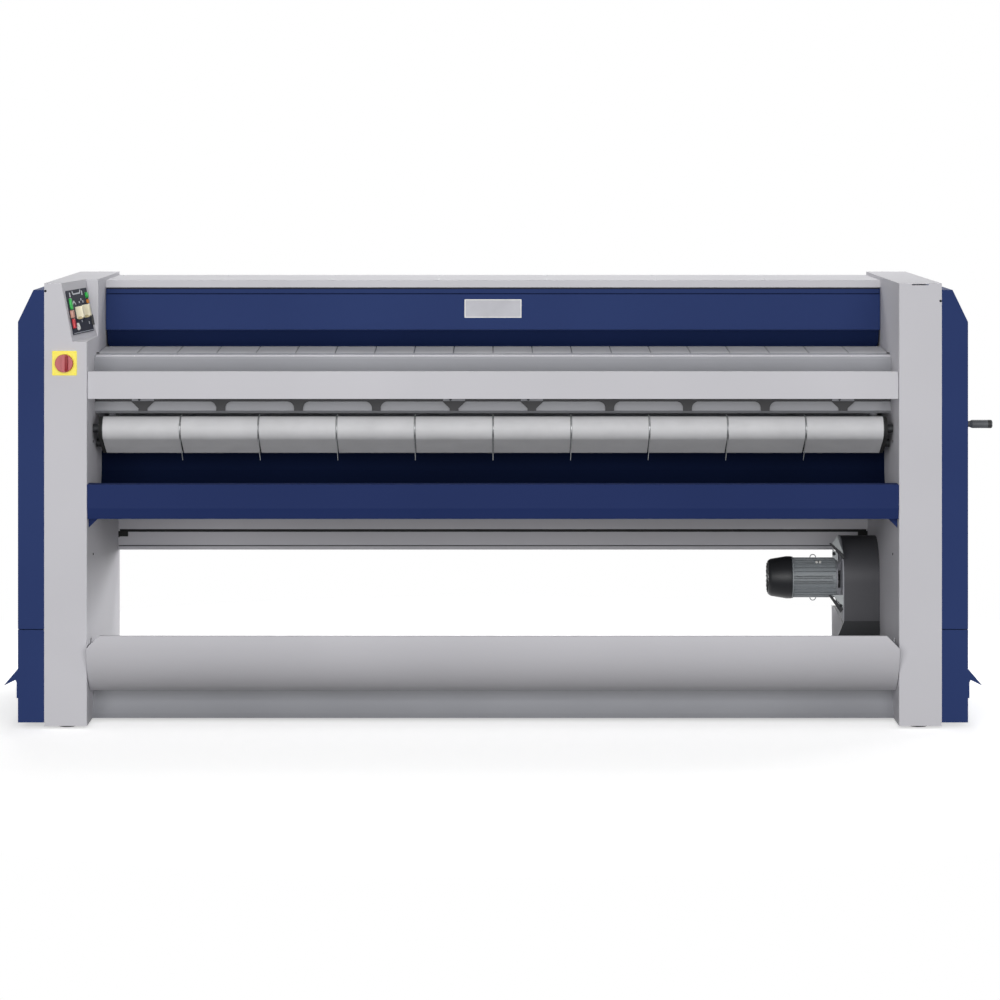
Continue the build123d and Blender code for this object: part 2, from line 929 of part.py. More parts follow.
# Base crossmember, a hollow sheet box whose front face curves down and forward.
with BuildPart() as base_crossmember:
    rear = front_y + base_depth + base_flange
    top_front = place(base_depth, base_top)
    cove = place(base_depth - base_cove_depth, base_bottom + base_cove_rise)
    low_front = place(base_depth - base_sweep, base_bottom)
    with BuildSketch(cross_plane(inner_x)):
        with BuildLine():
            ThreePointArc(top_front, cove, low_front)
            Polyline(low_front, (rear, base_bottom), (rear, base_top), top_front)
        make_face()
        offset(amount=-cross_sheet, kind=Kind.INTERSECTION, mode=Mode.SUBTRACT)
    extrude(amount=opening_width)
finish(base_crossmember, "base_crossmember")


# Receiving tray: an open trough in front of the base, its front corners cut off.
def tray_line(inset):
    rim = place(-tray_rim_reach + inset, tray_rim_height + inset)
    slant = inset * math.sqrt(0.5)
    bulge = place(-tray_bulge_reach + slant, tray_bulge_height + slant)
    keel = place(tray_keel_depth, tray_keel_height + inset)
    floor_rear = place(tray_floor_rear, tray_keel_height + inset)
    back = place(tray_rear_depth - inset, tray_rear_height + inset)
    return rim, bulge, keel, floor_rear, back


with BuildPart() as receiving_tray:
    with BuildSketch(cross_plane(cross_width / 2)):
        for inset, mode in ((0, Mode.ADD), (tray_sheet, Mode.SUBTRACT)):
            rim, bulge, keel, floor_rear, back = tray_line(inset)
            with BuildLine():
                ThreePointArc(rim, bulge, keel)
                Polyline(keel, floor_rear, back, rim)
            make_face(mode=mode)
        with BuildLine():
            rim = place(-tray_rim_reach, tray_rim_height)
            Polyline(
                rim,
                (rim[0] + tray_hem, rim[1]),
                (rim[0] + tray_hem, rim[1] - tray_hem),
                (rim[0] + tray_hem - tray_sheet, rim[1] - tray_hem),
                (rim[0] + tray_hem - tray_sheet, rim[1] - tray_sheet),
                (rim[0], rim[1] - tray_sheet),
                close=True,
            )
        make_face()
    extrude(amount=cross_width)
    for end in (-1, 1):
        cheek_x = end * (cross_width - tray_sheet) / 2
        with BuildSketch(Plane.YZ.offset(cheek_x - tray_sheet / 2)):
            rim, bulge, keel, floor_rear, back = tray_line(0)
            with BuildLine():
                ThreePointArc(rim, bulge, keel)
                Polyline(keel, floor_rear, back, rim)
            make_face()
        extrude(amount=tray_sheet)
    with BuildSketch(Plane.XZ.offset(-front_y)):
        for end in (-1, 1):
            corner_x = end * cross_width / 2
            with BuildLine():
                Polyline(
                    (corner_x, tray_rim_height),
                    (corner_x - end * tray_corner_cut, tray_rim_height),
                    (corner_x, tray_rim_height - tray_corner_cut),
                    close=True,
                )
            make_face()
    extrude(amount=2 * tray_rim_reach, both=True, mode=Mode.SUBTRACT)
    with BuildSketch(Plane.XY.offset(tray_keel_height + tray_tab_width)):
        for end in (-1, 1):
            tab_x = end * (inner_x - end_gap / 2)
            with Locations((tab_x, front_y + tray_keel_depth + tray_tab_width)):
                Rectangle(end_gap, tray_tab_width)
            with Locations((tab_x, front_y + tray_floor_rear)):
                Rectangle(end_gap, tray_tab_width)
    extrude(amount=tray_tab_width)
finish(receiving_tray, "receiving_tray")


# Rollers: a tube with heads and journals, drawn as half a section and turned about its axis.
def roller(centre, radius, wall, face, head, journal, bore, left_reach, right_reach, sprocket_radius):
    plane = Plane(origin=(0, *centre), x_dir=(1, 0, 0), z_dir=(0, -1, 0))
    with BuildPart() as turned:
        with BuildSketch(plane):
            with BuildLine():
                Polyline(
                    (-left_reach, bore),
                    (-left_reach, journal),
                    (-face / 2, journal),
                    (-face / 2, radius),
                    (face / 2, radius),
                    (face / 2, journal),
                    (right_reach, journal),
                    (right_reach, bore),
                    (face / 2 - head, bore),
                    (face / 2 - head, radius - wall),
                    (-face / 2 + head, radius - wall),
                    (-face / 2 + head, bore),
                    close=True,
                )
            make_face()
        revolve(axis=Axis((0, *centre), (1, 0, 0)))
        if sprocket_radius:
            with BuildSketch(Plane.YZ.offset(-sprocket_x - sprocket_width)):
                with Locations(centre):
                    Circle(sprocket_radius)
                    Circle(journal, mode=Mode.SUBTRACT)
            extrude(amount=sprocket_width)
    return turned


def belt_roller(centre, radius, sprocket_radius=None, face=roller_face):
    # With a sprocket, the left journal reaches through the bearing and carries it.
    left_reach = bearing_outer_x
    if sprocket_radius:
        left_reach = sprocket_x + sprocket_width
    return roller(
        centre,
        radius,
        belt_roller_wall,
        face,
        roller_head,
        journal_radius,
        journal_bore,
        left_reach,
        bearing_outer_x,
        sprocket_radius,
    )


nip_roller = belt_roller(nip_centre, belt_roller_radius)
finish(nip_roller, "nip_roller")

lower_belt_roller = belt_roller(lower_centre, belt_roller_radius, lower_sprocket_radius)
finish(lower_belt_roller, "lower_belt_roller")

rear_belt_roller = belt_roller(rear_centre, belt_roller_radius)
finish(rear_belt_roller, "rear_belt_roller")

tension_roller = belt_roller(tension_centre, belt_roller_radius)
finish(tension_roller, "tension_roller")

feed_nose_roller = belt_roller(nose_centre, nose_roller_radius, nose_sprocket_radius)
finish(feed_nose_roller, "feed_nose_roller")

feed_rear_roller = belt_roller(feed_rear_centre, feed_rear_roller_radius)
finish(feed_rear_roller, "feed_rear_roller")

return_roller = belt_roller(return_centre, return_roller_radius, return_sprocket_radius, return_face)
finish(return_roller, "return_roller")

return_tail_roller = belt_roller(tail_centre, return_tail_radius, face=return_face)
finish(return_tail_roller, "return_tail_roller")

# Heated cylinder with hollow journals. The left one carries the sprocket of the feed chain, the
# right one the gearbox.
gearbox_outer_x = bearing_outer_x + gearbox_width
heated_cylinder = roller(
    cylinder_centre,
    cylinder_radius,
    cylinder_wall,
    cylinder_face,
    cylinder_head,
    cylinder_journal_radius,
    cylinder_journal_bore,
    sprocket_x + sprocket_width,
    gearbox_outer_x,
    cylinder_sprocket_radius,
)
finish(heated_cylinder, "heated_cylinder")

# Heating rods on a fixed tube through the journals, held by a strap from the left side frame.
with BuildPart() as heating_elements:
    strap_x = sprocket_x + sprocket_width + carrier_strap_gap
    with BuildSketch(Plane.YZ.offset(-strap_x)):
        with Locations(cylinder_centre):
            Circle(carrier_radius)
    extrude(amount=strap_x + plate_outer_x)
    for spider_x in evenly(spider_count, spider_pitch):
        with BuildSketch(Plane.YZ.offset(spider_x)):
            with Locations(cylinder_centre):
                Circle(rod_circle_radius + 2 * rod_radius)
        extrude(amount=spider_thickness)
    with BuildSketch(Plane.YZ.offset(-rod_length / 2)):
        with Locations(cylinder_centre):
            with PolarLocations(rod_circle_radius, rod_count):
                Circle(rod_radius)
    extrude(amount=rod_length)
    strap_drop = cylinder_sprocket_radius + carrier_strap_clearance
    strap_low = cylinder_height - strap_drop
    with BuildSketch(Plane.YZ.offset(-strap_x)):
        with Locations((cylinder_centre[0], cylinder_height)):
            Rectangle(carrier_strap_width, strap_drop, align=(Align.CENTER, Align.MAX))
    extrude(amount=-carrier_strap_sheet)
    with BuildSketch(Plane.XY.offset(strap_low)):
        with Locations((-strap_x - carrier_strap_sheet, cylinder_centre[0])):
            Rectangle(
                strap_x + carrier_strap_sheet - plate_outer_x,
                carrier_strap_width,
                align=(Align.MIN, Align.CENTER),
            )
    extrude(amount=carrier_strap_sheet)
finish(heating_elements, "heating_elements")


# Bearings on the outer side of each side frame, one ring for each journal.
with BuildPart() as roller_bearings:
    for side in (-1, 1):
        start_x = plate_outer_x if side > 0 else -bearing_outer_x
        with BuildSketch(Plane.YZ.offset(start_x)):
            with Locations(*roller_centres):
                Circle(journal_radius + bearing_ring)
            with Locations(*roller_centres):
                Circle(journal_radius + journal_play, mode=Mode.SUBTRACT)
            with Locations(cylinder_centre):
                Circle(cylinder_journal_radius + cylinder_bearing_ring)
                Circle(cylinder_journal_radius + journal_play, mode=Mode.SUBTRACT)
            if side > 0:
                with Locations(crank_centre):
                    Circle(crank_shaft_radius + bearing_ring)
                    Circle(crank_shaft_radius + journal_play, mode=Mode.SUBTRACT)
        extrude(amount=bearing_width)
finish(roller_bearings, "roller_bearings")

# Belts
wide_belt_places = evenly(wide_belt_count, wide_belt_pitch)
with BuildPart() as ironing_belts:
    belt_loops(
        [
            (rear_centre, belt_roller_radius + belt_gap),
            (tension_centre, belt_roller_radius + belt_gap),
            (nip_centre, belt_roller_radius + belt_gap),
            (cylinder_centre, -(cylinder_radius + belt_gap + belt_thickness)),
            (lower_centre, belt_roller_radius + belt_gap),
        ],
        belt_thickness,
        wide_belt_width,
        wide_belt_places,
    )
finish(ironing_belts, "ironing_belts")

return_stations = [
    (tail_centre, return_tail_radius + belt_gap),
    (return_centre, return_roller_radius + belt_gap),
]
with BuildPart() as return_belts:
    belt_loops(return_stations, belt_thickness, wide_belt_width, wide_belt_places)
finish(return_belts, "return_belts")

feed_stations = [
    (feed_rear_centre, feed_rear_roller_radius + belt_gap),
    (nose_centre, nose_roller_radius + belt_gap),
]
with BuildPart() as feed_belts:
    belt_loops(
        feed_stations,
        belt_thickness,
        feed_belt_width,
        evenly(feed_belt_count, feed_belt_pitch),
    )
finish(feed_belts, "feed_belts")

# Chains in the left column, as plain loops round the sprockets.
with BuildPart() as transfer_chains:
    chain_x = -sprocket_x - sprocket_width / 2
    belt_loops(
        [
            (cylinder_centre, cylinder_sprocket_radius + belt_gap),
            (nose_centre, nose_sprocket_radius + belt_gap),
        ],
        chain_thickness,
        sprocket_width,
        [chain_x],
    )
    belt_loops(
        [
            (lower_centre, lower_sprocket_radius + belt_gap),
            (return_centre, return_sprocket_radius + belt_gap),
        ],
        chain_thickness,
        sprocket_width,
        [chain_x],
    )
finish(transfer_chains, "transfer_chains")

# Feed table: the plate under the upper run of the feed belts.
feed_heading = run_headings(feed_stations)[0]
feed_slope = math.tan(feed_heading - math.pi / 2)


def under_feed_run(depth, drop):
    # A point below the inner face of the belts' upper run.
    reach = nose_roller_radius + belt_gap - drop
    run_y = nose_centre[0] + reach * math.cos(feed_heading)
    run_z = nose_centre[1] + reach * math.sin(feed_heading)
    y = front_y + depth
    return (y, run_z + (y - run_y) * feed_slope)


# A rounded lip closes the front of the table, just over the belts where they turn.
lip_top = nose_roller_height + nose_wrap + lip_gap + cross_sheet
lip_foot_depth = nose_roller_depth - lip_front_reach + lip_lean
with BuildPart() as feed_table:
    with BuildSketch(cross_plane(inner_x)):
        with BuildLine():
            Polyline(
                under_feed_run(table_front, table_gap),
                under_feed_run(table_rear, table_gap),
                under_feed_run(table_rear, table_gap + cross_sheet),
                under_feed_run(table_front, table_gap + cross_sheet),
                close=True,
            )
        make_face()
        with BuildLine():
            lip_line = FilletPolyline(
                place(nose_roller_depth - lip_rear_reach, lip_top),
                place(nose_roller_depth - lip_front_reach, lip_top - lip_fall),
                place(lip_foot_depth, lip_top - lip_drop),
                place(lip_foot_depth + lip_flange, lip_top - lip_drop),
                radius=lip_round,
            )
            offset(lip_line, amount=cross_sheet, side=Side.LEFT, kind=Kind.INTERSECTION)
        make_face()
    extrude(amount=opening_width)
finish(feed_table, "feed_table")

# Guide plate over the return roller, and the ten brackets on the bar along its front.
with BuildPart() as guide_plate:
    section = strip(
        cross_plane(inner_x),
        [
            place(guide_depth + rail_flange, guide_top),
            place(guide_depth, guide_top),
            place(guide_depth, guide_bend),
            place(guide_lip_depth, guide_lip_bottom),
        ],
        cross_sheet,
        Side.LEFT,
    )
    extrude(section, amount=opening_width)
finish(guide_plate, "guide_plate")

with BuildPart() as guide_brackets:
    for index, bracket_x in enumerate(wide_belt_places):
        with BuildSketch(Plane.XZ.offset(-front_y - guide_depth)):
            for end in (-1, 1):
                top = (bracket_x + end * bracket_top_width / 2, bracket_top)
                shoulder = (bracket_x + end * bracket_top_width / 2, bracket_shoulder)
                stem = (bracket_x + end * bracket_stem_width / 2, bracket_stem_top)
                with BuildLine():
                    Polyline((bracket_x, guide_bend), (bracket_x, bracket_top), top, shoulder)
                    if index in plain_brackets:
                        Line(shoulder, stem)
                    else:
                        TangentArc(stem, shoulder, tangent=(0, 1))
                    Polyline(
                        stem,
                        (bracket_x + end * bracket_stem_width / 2, guide_bend),
                        (bracket_x, guide_bend),
                    )
                make_face()
        extrude(amount=bracket_thickness)
    with BuildSketch(Plane.XZ.offset(-front_y - guide_depth)):
        with Locations((0, (bracket_top + bracket_shoulder) / 2)):
            Rectangle(cross_width, bracket_top - bracket_shoulder)
    extrude(amount=bracket_thickness)
finish(guide_brackets, "guide_brackets")

# Guide wires in the gaps between the return belts, from the guide plate round the roller and down.
wire_reach = return_wrap + wire_radius
wire_span = math.hypot(wire_tail_reach, wire_tail_drop)
wire_leave = math.degrees(math.atan2(-wire_tail_drop, wire_tail_reach) - math.acos(wire_reach / wire_span))
with BuildPart() as guide_wires:
    for wire_x in evenly(wide_belt_count - 1, wide_belt_pitch):
        wire_top = (return_centre[0], return_centre[1] + wire_reach)
        wire_middle = polar(return_centre, wire_reach, 180)
        wire_low = polar(return_centre, wire_reach, wire_leave)
        wire_end = (return_centre[0] + wire_tail_reach, return_centre[1] - wire_tail_drop)
        with BuildLine(Plane.YZ.offset(wire_x)):
            Line((front_y + guide_depth, wire_top[1]), wire_top)
            ThreePointArc(wire_top, wire_middle, wire_low)
            Line(wire_low, wire_end)
        with BuildSketch(Plane.XZ.offset(-front_y - guide_depth)):
            with Locations((wire_x, wire_top[1])):
                Circle(wire_radius)
        sweep()
finish(guide_wires, "guide_wires")

# Stripper plate that lifts the linen off the cylinder and leads it to the return belts.
stripper_reach = cylinder_radius + stripper_clearance
stripper_rear = cylinder_depth - math.sqrt(stripper_reach**2 - stripper_drop**2)
with BuildPart() as stripper_plate:
    section = strip(
        cross_plane(inner_x),
        [
            place(stripper_rear, stripper_height),
            place(stripper_front, stripper_height),
            place(stripper_front, stripper_height - stripper_lip),
        ],
        cross_sheet,
        Side.LEFT,
    )
    extrude(section, amount=opening_width)
finish(stripper_plate, "stripper_plate")


# Exhaust fan on the right column. Its scroll is open downwards into the duct.
fan_right_x = inner_x
fan_left_x = fan_right_x - fan_width


def scroll_outline(inset):
    radius = fan_scroll_radius - inset
    with Locations(fan_centre):
        Circle(radius)
    outlet_front = fan_centre[0] - radius
    with Locations((outlet_front, fan_height)):
        Rectangle(
            fan_outlet_depth - 2 * inset,
            fan_height - fan_outlet_height,
            align=(Align.MIN, Align.MAX),
        )
    # Level with the outlet's mouth the scroll is cut off flat, and stands on the duct.
    with Locations((fan_centre[0], fan_outlet_height)):
        Rectangle(
            2 * fan_scroll_radius + 2 * abs(inset),
            fan_scroll_radius,
            align=(Align.CENTER, Align.MAX),
            mode=Mode.SUBTRACT,
        )


with BuildPart() as fan_housing:
    with BuildSketch(Plane.YZ.offset(fan_left_x)):
        scroll_outline(0)
    extrude(amount=fan_width)
    with BuildSketch(Plane.YZ.offset(fan_left_x)):
        scroll_outline(fan_sheet)
    extrude(amount=fan_width - fan_sheet, mode=Mode.SUBTRACT)
    with BuildSketch(Plane.YZ.offset(fan_left_x)):
        with Locations(fan_centre):
            Circle(fan_suction_radius)
    extrude(amount=fan_width, mode=Mode.SUBTRACT)
finish(fan_housing, "fan_housing")

# Its left side is the light plate that carries the motor on four slanting arms.
with BuildPart() as fan_bracket:
    plate_left_x = fan_left_x - fan_plate_thickness
    with BuildSketch(Plane.YZ.offset(plate_left_x)):
        scroll_outline(-fan_plate_rim)
        with Locations(fan_centre):
            Circle(fan_shaft_radius + wall_hole_play, mode=Mode.SUBTRACT)
    extrude(amount=fan_plate_thickness)
    motor_face_x = plate_left_x - motor_standoff
    with BuildSketch(Plane.YZ.offset(motor_face_x)):
        with Locations(fan_centre):
            Circle(motor_radius + motor_fin_height)
            Circle(fan_shaft_radius + wall_hole_play, mode=Mode.SUBTRACT)
    extrude(amount=fan_plate_thickness)
    for turn in (45, 135, 225, 315):
        arm_plane = Plane(
            origin=(plate_left_x, *fan_centre),
            x_dir=(1, 0, 0),
            z_dir=(0, math.cos(math.radians(turn + 90)), math.sin(math.radians(turn + 90))),
        )
        inner_reach = motor_radius
        outer_reach = motor_radius + motor_fin_height + motor_arm_reach
        with BuildSketch(arm_plane.offset(-motor_arm_width / 2)):
            with BuildLine():
                Polyline(
                    (-motor_standoff, -inner_reach),
                    (-motor_standoff, -motor_radius - motor_fin_height),
                    (0, -outer_reach),
                    (0, -inner_reach),
                    close=True,
                )
            make_face()
        extrude(amount=motor_arm_width)
finish(fan_bracket, "fan_bracket")

with BuildPart() as fan_motor:
    body_left_x = motor_face_x - motor_body_length
    with BuildSketch(Plane.YZ.offset(body_left_x)):
        with Locations(fan_centre):
            Circle(motor_radius)
            with PolarLocations(motor_radius, motor_fins):
                Rectangle(2 * motor_fin_height, motor_fin_width)
            Circle(fan_shaft_radius + journal_play, mode=Mode.SUBTRACT)
    extrude(amount=motor_body_length)
    cowl_left_x = body_left_x - motor_cowl_length
    cowl_radius = motor_radius + motor_fin_height
    cowl_rim = (body_left_x, cowl_radius + motor_cowl_lip)
    with BuildSketch(Plane(origin=(0, *fan_centre), x_dir=(1, 0, 0), z_dir=(0, -1, 0))):
        with BuildLine():
            Line((cowl_left_x, 0), (cowl_left_x, cowl_radius - motor_cowl_taper))
            ThreePointArc(
                (cowl_left_x, cowl_radius - motor_cowl_taper),
                (cowl_left_x + motor_cowl_shoulder, cowl_radius - motor_cowl_fall),
                cowl_rim,
            )
            Polyline(cowl_rim, (body_left_x, 0), (cowl_left_x, 0))
        make_face()
    revolve(axis=Axis((0, *fan_centre), (1, 0, 0)))
    for end in (-1, 1):
        eye_height = fan_height + end * cowl_radius
        with Locations((body_left_x + motor_eye_place, fan_centre[0], eye_height)):
            Torus(motor_eye_radius, motor_eye_wire, rotation=(90, 0, 0))
finish(fan_motor, "fan_motor")

with BuildPart() as fan_impeller:
    wheel_x = fan_left_x + impeller_side_play
    with BuildSketch(Plane.YZ.offset(wheel_x)):
        with Locations(fan_centre):
            Circle(impeller_radius)
    extrude(amount=impeller_plate)
    with BuildSketch(Plane.YZ.offset(wheel_x)):
        with Locations(fan_centre):
            with PolarLocations(impeller_radius - impeller_blade_length / 2, impeller_blades):
                Rectangle(impeller_blade_length, fan_sheet)
    extrude(amount=impeller_width)
    with BuildSketch(Plane.YZ.offset(wheel_x)):
        with Locations(fan_centre):
            Circle(impeller_hub_radius)
    extrude(amount=impeller_hub_length)
    with BuildSketch(Plane.YZ.offset(body_left_x + motor_standoff)):
        with Locations(fan_centre):
            Circle(fan_shaft_radius)
    extrude(amount=wheel_x - body_left_x)
finish(fan_impeller, "fan_impeller")

# Outlet duct: flares down from the scroll, then runs to the round spigot at the rear.
duct_front_y = fan_centre[0] - fan_scroll_radius


def duct_section(height, flare, inset):
    # The left side leans out at the front only.
    with BuildSketch(Plane.XY.offset(height)) as section:
        with BuildLine():
            Polyline(
                (fan_right_x - inset, duct_front_y + inset),
                (fan_left_x + inset - flare, duct_front_y + inset),
                (fan_left_x + inset, duct_rear_y - inset),
                (fan_right_x - inset, duct_rear_y - inset),
                close=True,
            )
        make_face()
    return section.sketch


def duct_body(inset):
    low = duct_section(duct_flare_height, duct_flare, inset)
    loft([duct_section(fan_outlet_height - inset, 0, inset), low])
    extrude(low, amount=duct_bottom + inset - duct_flare_height)


duct_rear_y = front_y + duct_rear_depth
spigot_x = (fan_left_x + fan_right_x) / 2 + spigot_shift
spigot_end_y = rear_y + spigot_reach
with BuildPart() as exhaust_duct:
    duct_body(0)
    with BuildPart(mode=Mode.PRIVATE) as duct_hollow:
        duct_body(fan_sheet)
    add(duct_hollow.part, mode=Mode.SUBTRACT)
    with BuildSketch(Plane.XY.offset(fan_outlet_height)):
        with Locations(((fan_left_x + fan_right_x) / 2, duct_front_y + fan_sheet)):
            Rectangle(
                fan_width - 2 * fan_sheet,
                fan_outlet_depth - 2 * fan_sheet,
                align=(Align.CENTER, Align.MIN),
            )
    extrude(amount=-2 * fan_sheet, mode=Mode.SUBTRACT)
    with BuildSketch(Plane.XZ.offset(-spigot_end_y)):
        with Locations((spigot_x, spigot_height)):
            Circle(spigot_radius)
    extrude(amount=spigot_end_y - front_y - duct_rear_depth)
    with BuildSketch(Plane.XZ.offset(-spigot_end_y)):
        with Locations((spigot_x, spigot_height)):
            Circle(spigot_radius - spigot_sheet)
    extrude(amount=spigot_end_y - front_y - duct_rear_depth + fan_sheet, mode=Mode.SUBTRACT)
finish(exhaust_duct, "exhaust_duct")

# Drive: the gearbox sits on the cylinder's right journal, with its motor hanging below.
with BuildPart() as gearbox:
    with BuildSketch(Plane.YZ.offset(bearing_outer_x)) as gearbox_outline:
        with Locations(cylinder_centre):
            Rectangle(gearbox_depth, gearbox_height)
        fillet(gearbox_outline.vertices(), gearbox_corner_radius)
        with Locations(cylinder_centre):
            Circle(cylinder_journal_radius + journal_play, mode=Mode.SUBTRACT)
    extrude(amount=gearbox_width)
finish(gearbox, "gearbox")

with BuildPart() as drive_motor:
    motor_top = cylinder_height - gearbox_height / 2
    motor_centre_x = bearing_outer_x + gearbox_width / 2
    with BuildSketch(Plane.XY.offset(motor_top - drive_motor_length)):
        with Locations((motor_centre_x, cylinder_centre[0])):
            Circle(drive_motor_radius - drive_motor_fin)
            with PolarLocations(drive_motor_radius - drive_motor_fin, motor_fins):
                Rectangle(2 * drive_motor_fin, motor_fin_width)
    extrude(amount=drive_motor_length)
finish(drive_motor, "drive_motor")

# Hand crank on the right: shaft, arm and pin, hanging down, and the grip that turns on the pin.
crank_arm_x = panel_x + crank_arm_gap
pin_height = crank_shaft_height - crank_arm_length
pin_centre = (crank_centre[0], pin_height)
grip_x = crank_arm_x + crank_arm_thickness + crank_grip_gap
with BuildPart() as crank_arm:
    with BuildSketch(Plane.YZ.offset(plate_outer_x)):
        with Locations(crank_centre):
            Circle(crank_shaft_radius)
    extrude(amount=crank_arm_x - plate_outer_x)
    with BuildSketch(Plane.YZ.offset(crank_arm_x)):
        with Locations((crank_centre[0], (crank_shaft_height + pin_height) / 2)):
            SlotCenterToCenter(crank_arm_length, crank_arm_width, rotation=90)
    extrude(amount=crank_arm_thickness)
    with BuildSketch(Plane.YZ.offset(crank_arm_x)):
        with Locations(pin_centre):
            Circle(crank_pin_radius)
    extrude(amount=grip_x + crank_grip_length - 2 * crank_grip_taper - crank_arm_x)
finish(crank_arm, "crank_arm")

with BuildPart() as crank_grip:
    with BuildSketch(Plane(origin=(grip_x, *pin_centre), x_dir=(1, 0, 0), z_dir=(0, -1, 0))):
        bore = crank_pin_radius + crank_pin_play
        waist = crank_grip_radius - crank_grip_round
        bore_end = crank_grip_length - 2 * crank_grip_taper + crank_grip_gap
        with BuildLine():
            Polyline(
                (0, bore),
                (0, waist),
                (crank_grip_taper, waist),
                (2 * crank_grip_taper, crank_grip_radius),
                (crank_grip_length - crank_grip_round, crank_grip_radius),
                (crank_grip_length, waist),
                (crank_grip_length, 0),
                (bore_end, 0),
                (bore_end, bore),
                close=True,
            )
        make_face()
    revolve(axis=Axis((grip_x, *pin_centre), (1, 0, 0)))
finish(crank_grip, "crank_grip")

# Main switch: a square plate and a round knob with a grip across it.
switch_x = -inner_x - switch_offset
switch_plate_y = front_y - switch_plate_thickness
with BuildPart() as main_switch_plate:
    with BuildSketch(Plane.XZ.offset(-front_y)):
        with Locations((switch_x, switch_height)):
            RectangleRounded(switch_plate_size, switch_plate_size, plate_corner_radius)
            Circle(switch_shaft_radius + journal_play, mode=Mode.SUBTRACT)
    extrude(amount=switch_plate_thickness)
finish(main_switch_plate, "main_switch_plate")

with BuildPart() as main_switch_knob:
    knob_y = switch_plate_y - switch_gap
    with BuildSketch(Plane.XZ.offset(-knob_y)):
        with Locations((switch_x, switch_height)):
            Circle(switch_knob_radius)
    extrude(amount=switch_knob_depth)
    fillet(main_switch_knob.faces().sort_by(Axis.Y)[0].edges(), switch_knob_round)
    with BuildSketch(Plane.XZ.offset(-knob_y + switch_knob_depth)):
        with Locations((switch_x, switch_height)):
            SlotOverall(2 * switch_knob_radius - switch_knob_round, switch_grip_width, rotation=90)
    extrude(amount=switch_grip_depth)
    with BuildSketch(Plane.XZ.offset(-knob_y)):
        with Locations((switch_x, switch_height)):
            Circle(switch_shaft_radius)
    extrude(amount=-switch_plate_thickness - switch_gap - cut_through)
finish(main_switch_knob, "main_switch_knob")

# Control panel in the recess: a plate with openings for the keys, which slide square to it.
# Key places are along the panel from its middle to the rear, and up.
control_y = front_y + control_centre_depth
control_offset = control_centre_depth * panel_normal.Y - control_drop * panel_normal.Z
control_x = panel_front_top.X - control_offset / panel_normal.X
control_origin = Vector(control_x, control_y, control_centre_height)
control_plane = Plane(origin=control_origin, x_dir=panel_along, z_dir=panel_normal)
keys = {
    "start_key": {"at": (128, 53), "size": (22, 22), "reach": 9, "corner": 10},
    "feed_key": {"at": (-126, 31), "size": (20, 41), "reach": 8, "corner": 9},
    "speed_key": {"at": (-53, -4), "size": (22, 43), "reach": 26, "corner": 3},
    "heat_key": {"at": (50, -2), "size": (22, 44), "reach": 26, "corner": 3},
    "stop_key": {"at": (-133, -40), "size": (22, 35), "reach": 9, "corner": 4},
}
lamp_place = (128, 30)
lamp_radius = 8
lamp_reach = 7

with BuildPart() as control_panel:
    with BuildSketch(control_plane):
        RectangleRounded(control_length, control_height, control_corner_radius)
        for key in keys.values():
            with Locations(key["at"]):
                Rectangle(
                    key["size"][0] + 2 * key_hole_play,
                    key["size"][1] + 2 * key_hole_play,
                    mode=Mode.SUBTRACT,
                )
    extrude(amount=control_thickness)
finish(control_panel, "control_panel")

with BuildPart() as indicator_lamps:
    with BuildSketch(control_plane.offset(control_thickness)):
        with Locations(lamp_place):
            Circle(lamp_radius)
    extrude(amount=lamp_reach)
finish(indicator_lamps, "indicator_lamps")

for key_name, key in keys.items():
    with BuildPart() as key_part:
        with BuildSketch(control_plane.offset(key_travel + key_gap)):
            with Locations(key["at"]):
                RectangleRounded(*key["size"], key["corner"])
        extrude(amount=key["reach"])
        fillet(key_part.faces().sort_by(Axis((0, 0, 0), panel_normal))[-1].edges(), key_edge_radius)
    finish(key_part, key_name)

# Inlet box for the supply, on the left upper panel at the rear, with a gland to the rear.
with BuildPart() as supply_inlet:
    box_low = inlet_centre_height - inlet_height / 2
    box_y = front_y + inlet_centre_depth
    with BuildSketch(Plane.XY.offset(box_low)):
        with Locations((-panel_x, box_y)):
            Rectangle(inlet_width, inlet_depth, align=(Align.MAX, Align.CENTER))
    extrude(amount=inlet_height)
    fillet(supply_inlet.edges().filter_by(Axis.Z).group_by(Axis.X)[0], inlet_corner_radius)
    with BuildSketch(Plane.XY.offset(box_low + casing_sheet)):
        with Locations((-panel_x, box_y)):
            Rectangle(
                inlet_width - casing_sheet,
                inlet_depth - 2 * casing_sheet,
                align=(Align.MAX, Align.CENTER),
            )
    extrude(amount=inlet_height - 2 * casing_sheet, mode=Mode.SUBTRACT)
    gland_x = -panel_x - inlet_width / 2
    gland_y = box_y + inlet_depth / 2 + gland_length
    with BuildSketch(Plane.XZ.offset(-gland_y)):
        with Locations((gland_x, inlet_centre_height)):
            Circle(gland_radius)
    extrude(amount=gland_length)
    with BuildSketch(Plane.XZ.offset(-gland_y)):
        with Locations((gland_x, inlet_centre_height)):
            Circle(gland_bore)
    extrude(amount=gland_length + casing_sheet, mode=Mode.SUBTRACT)
finish(supply_inlet, "supply_inlet")
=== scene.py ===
import bpy
import bmesh
import math
from mathutils import Matrix, Vector


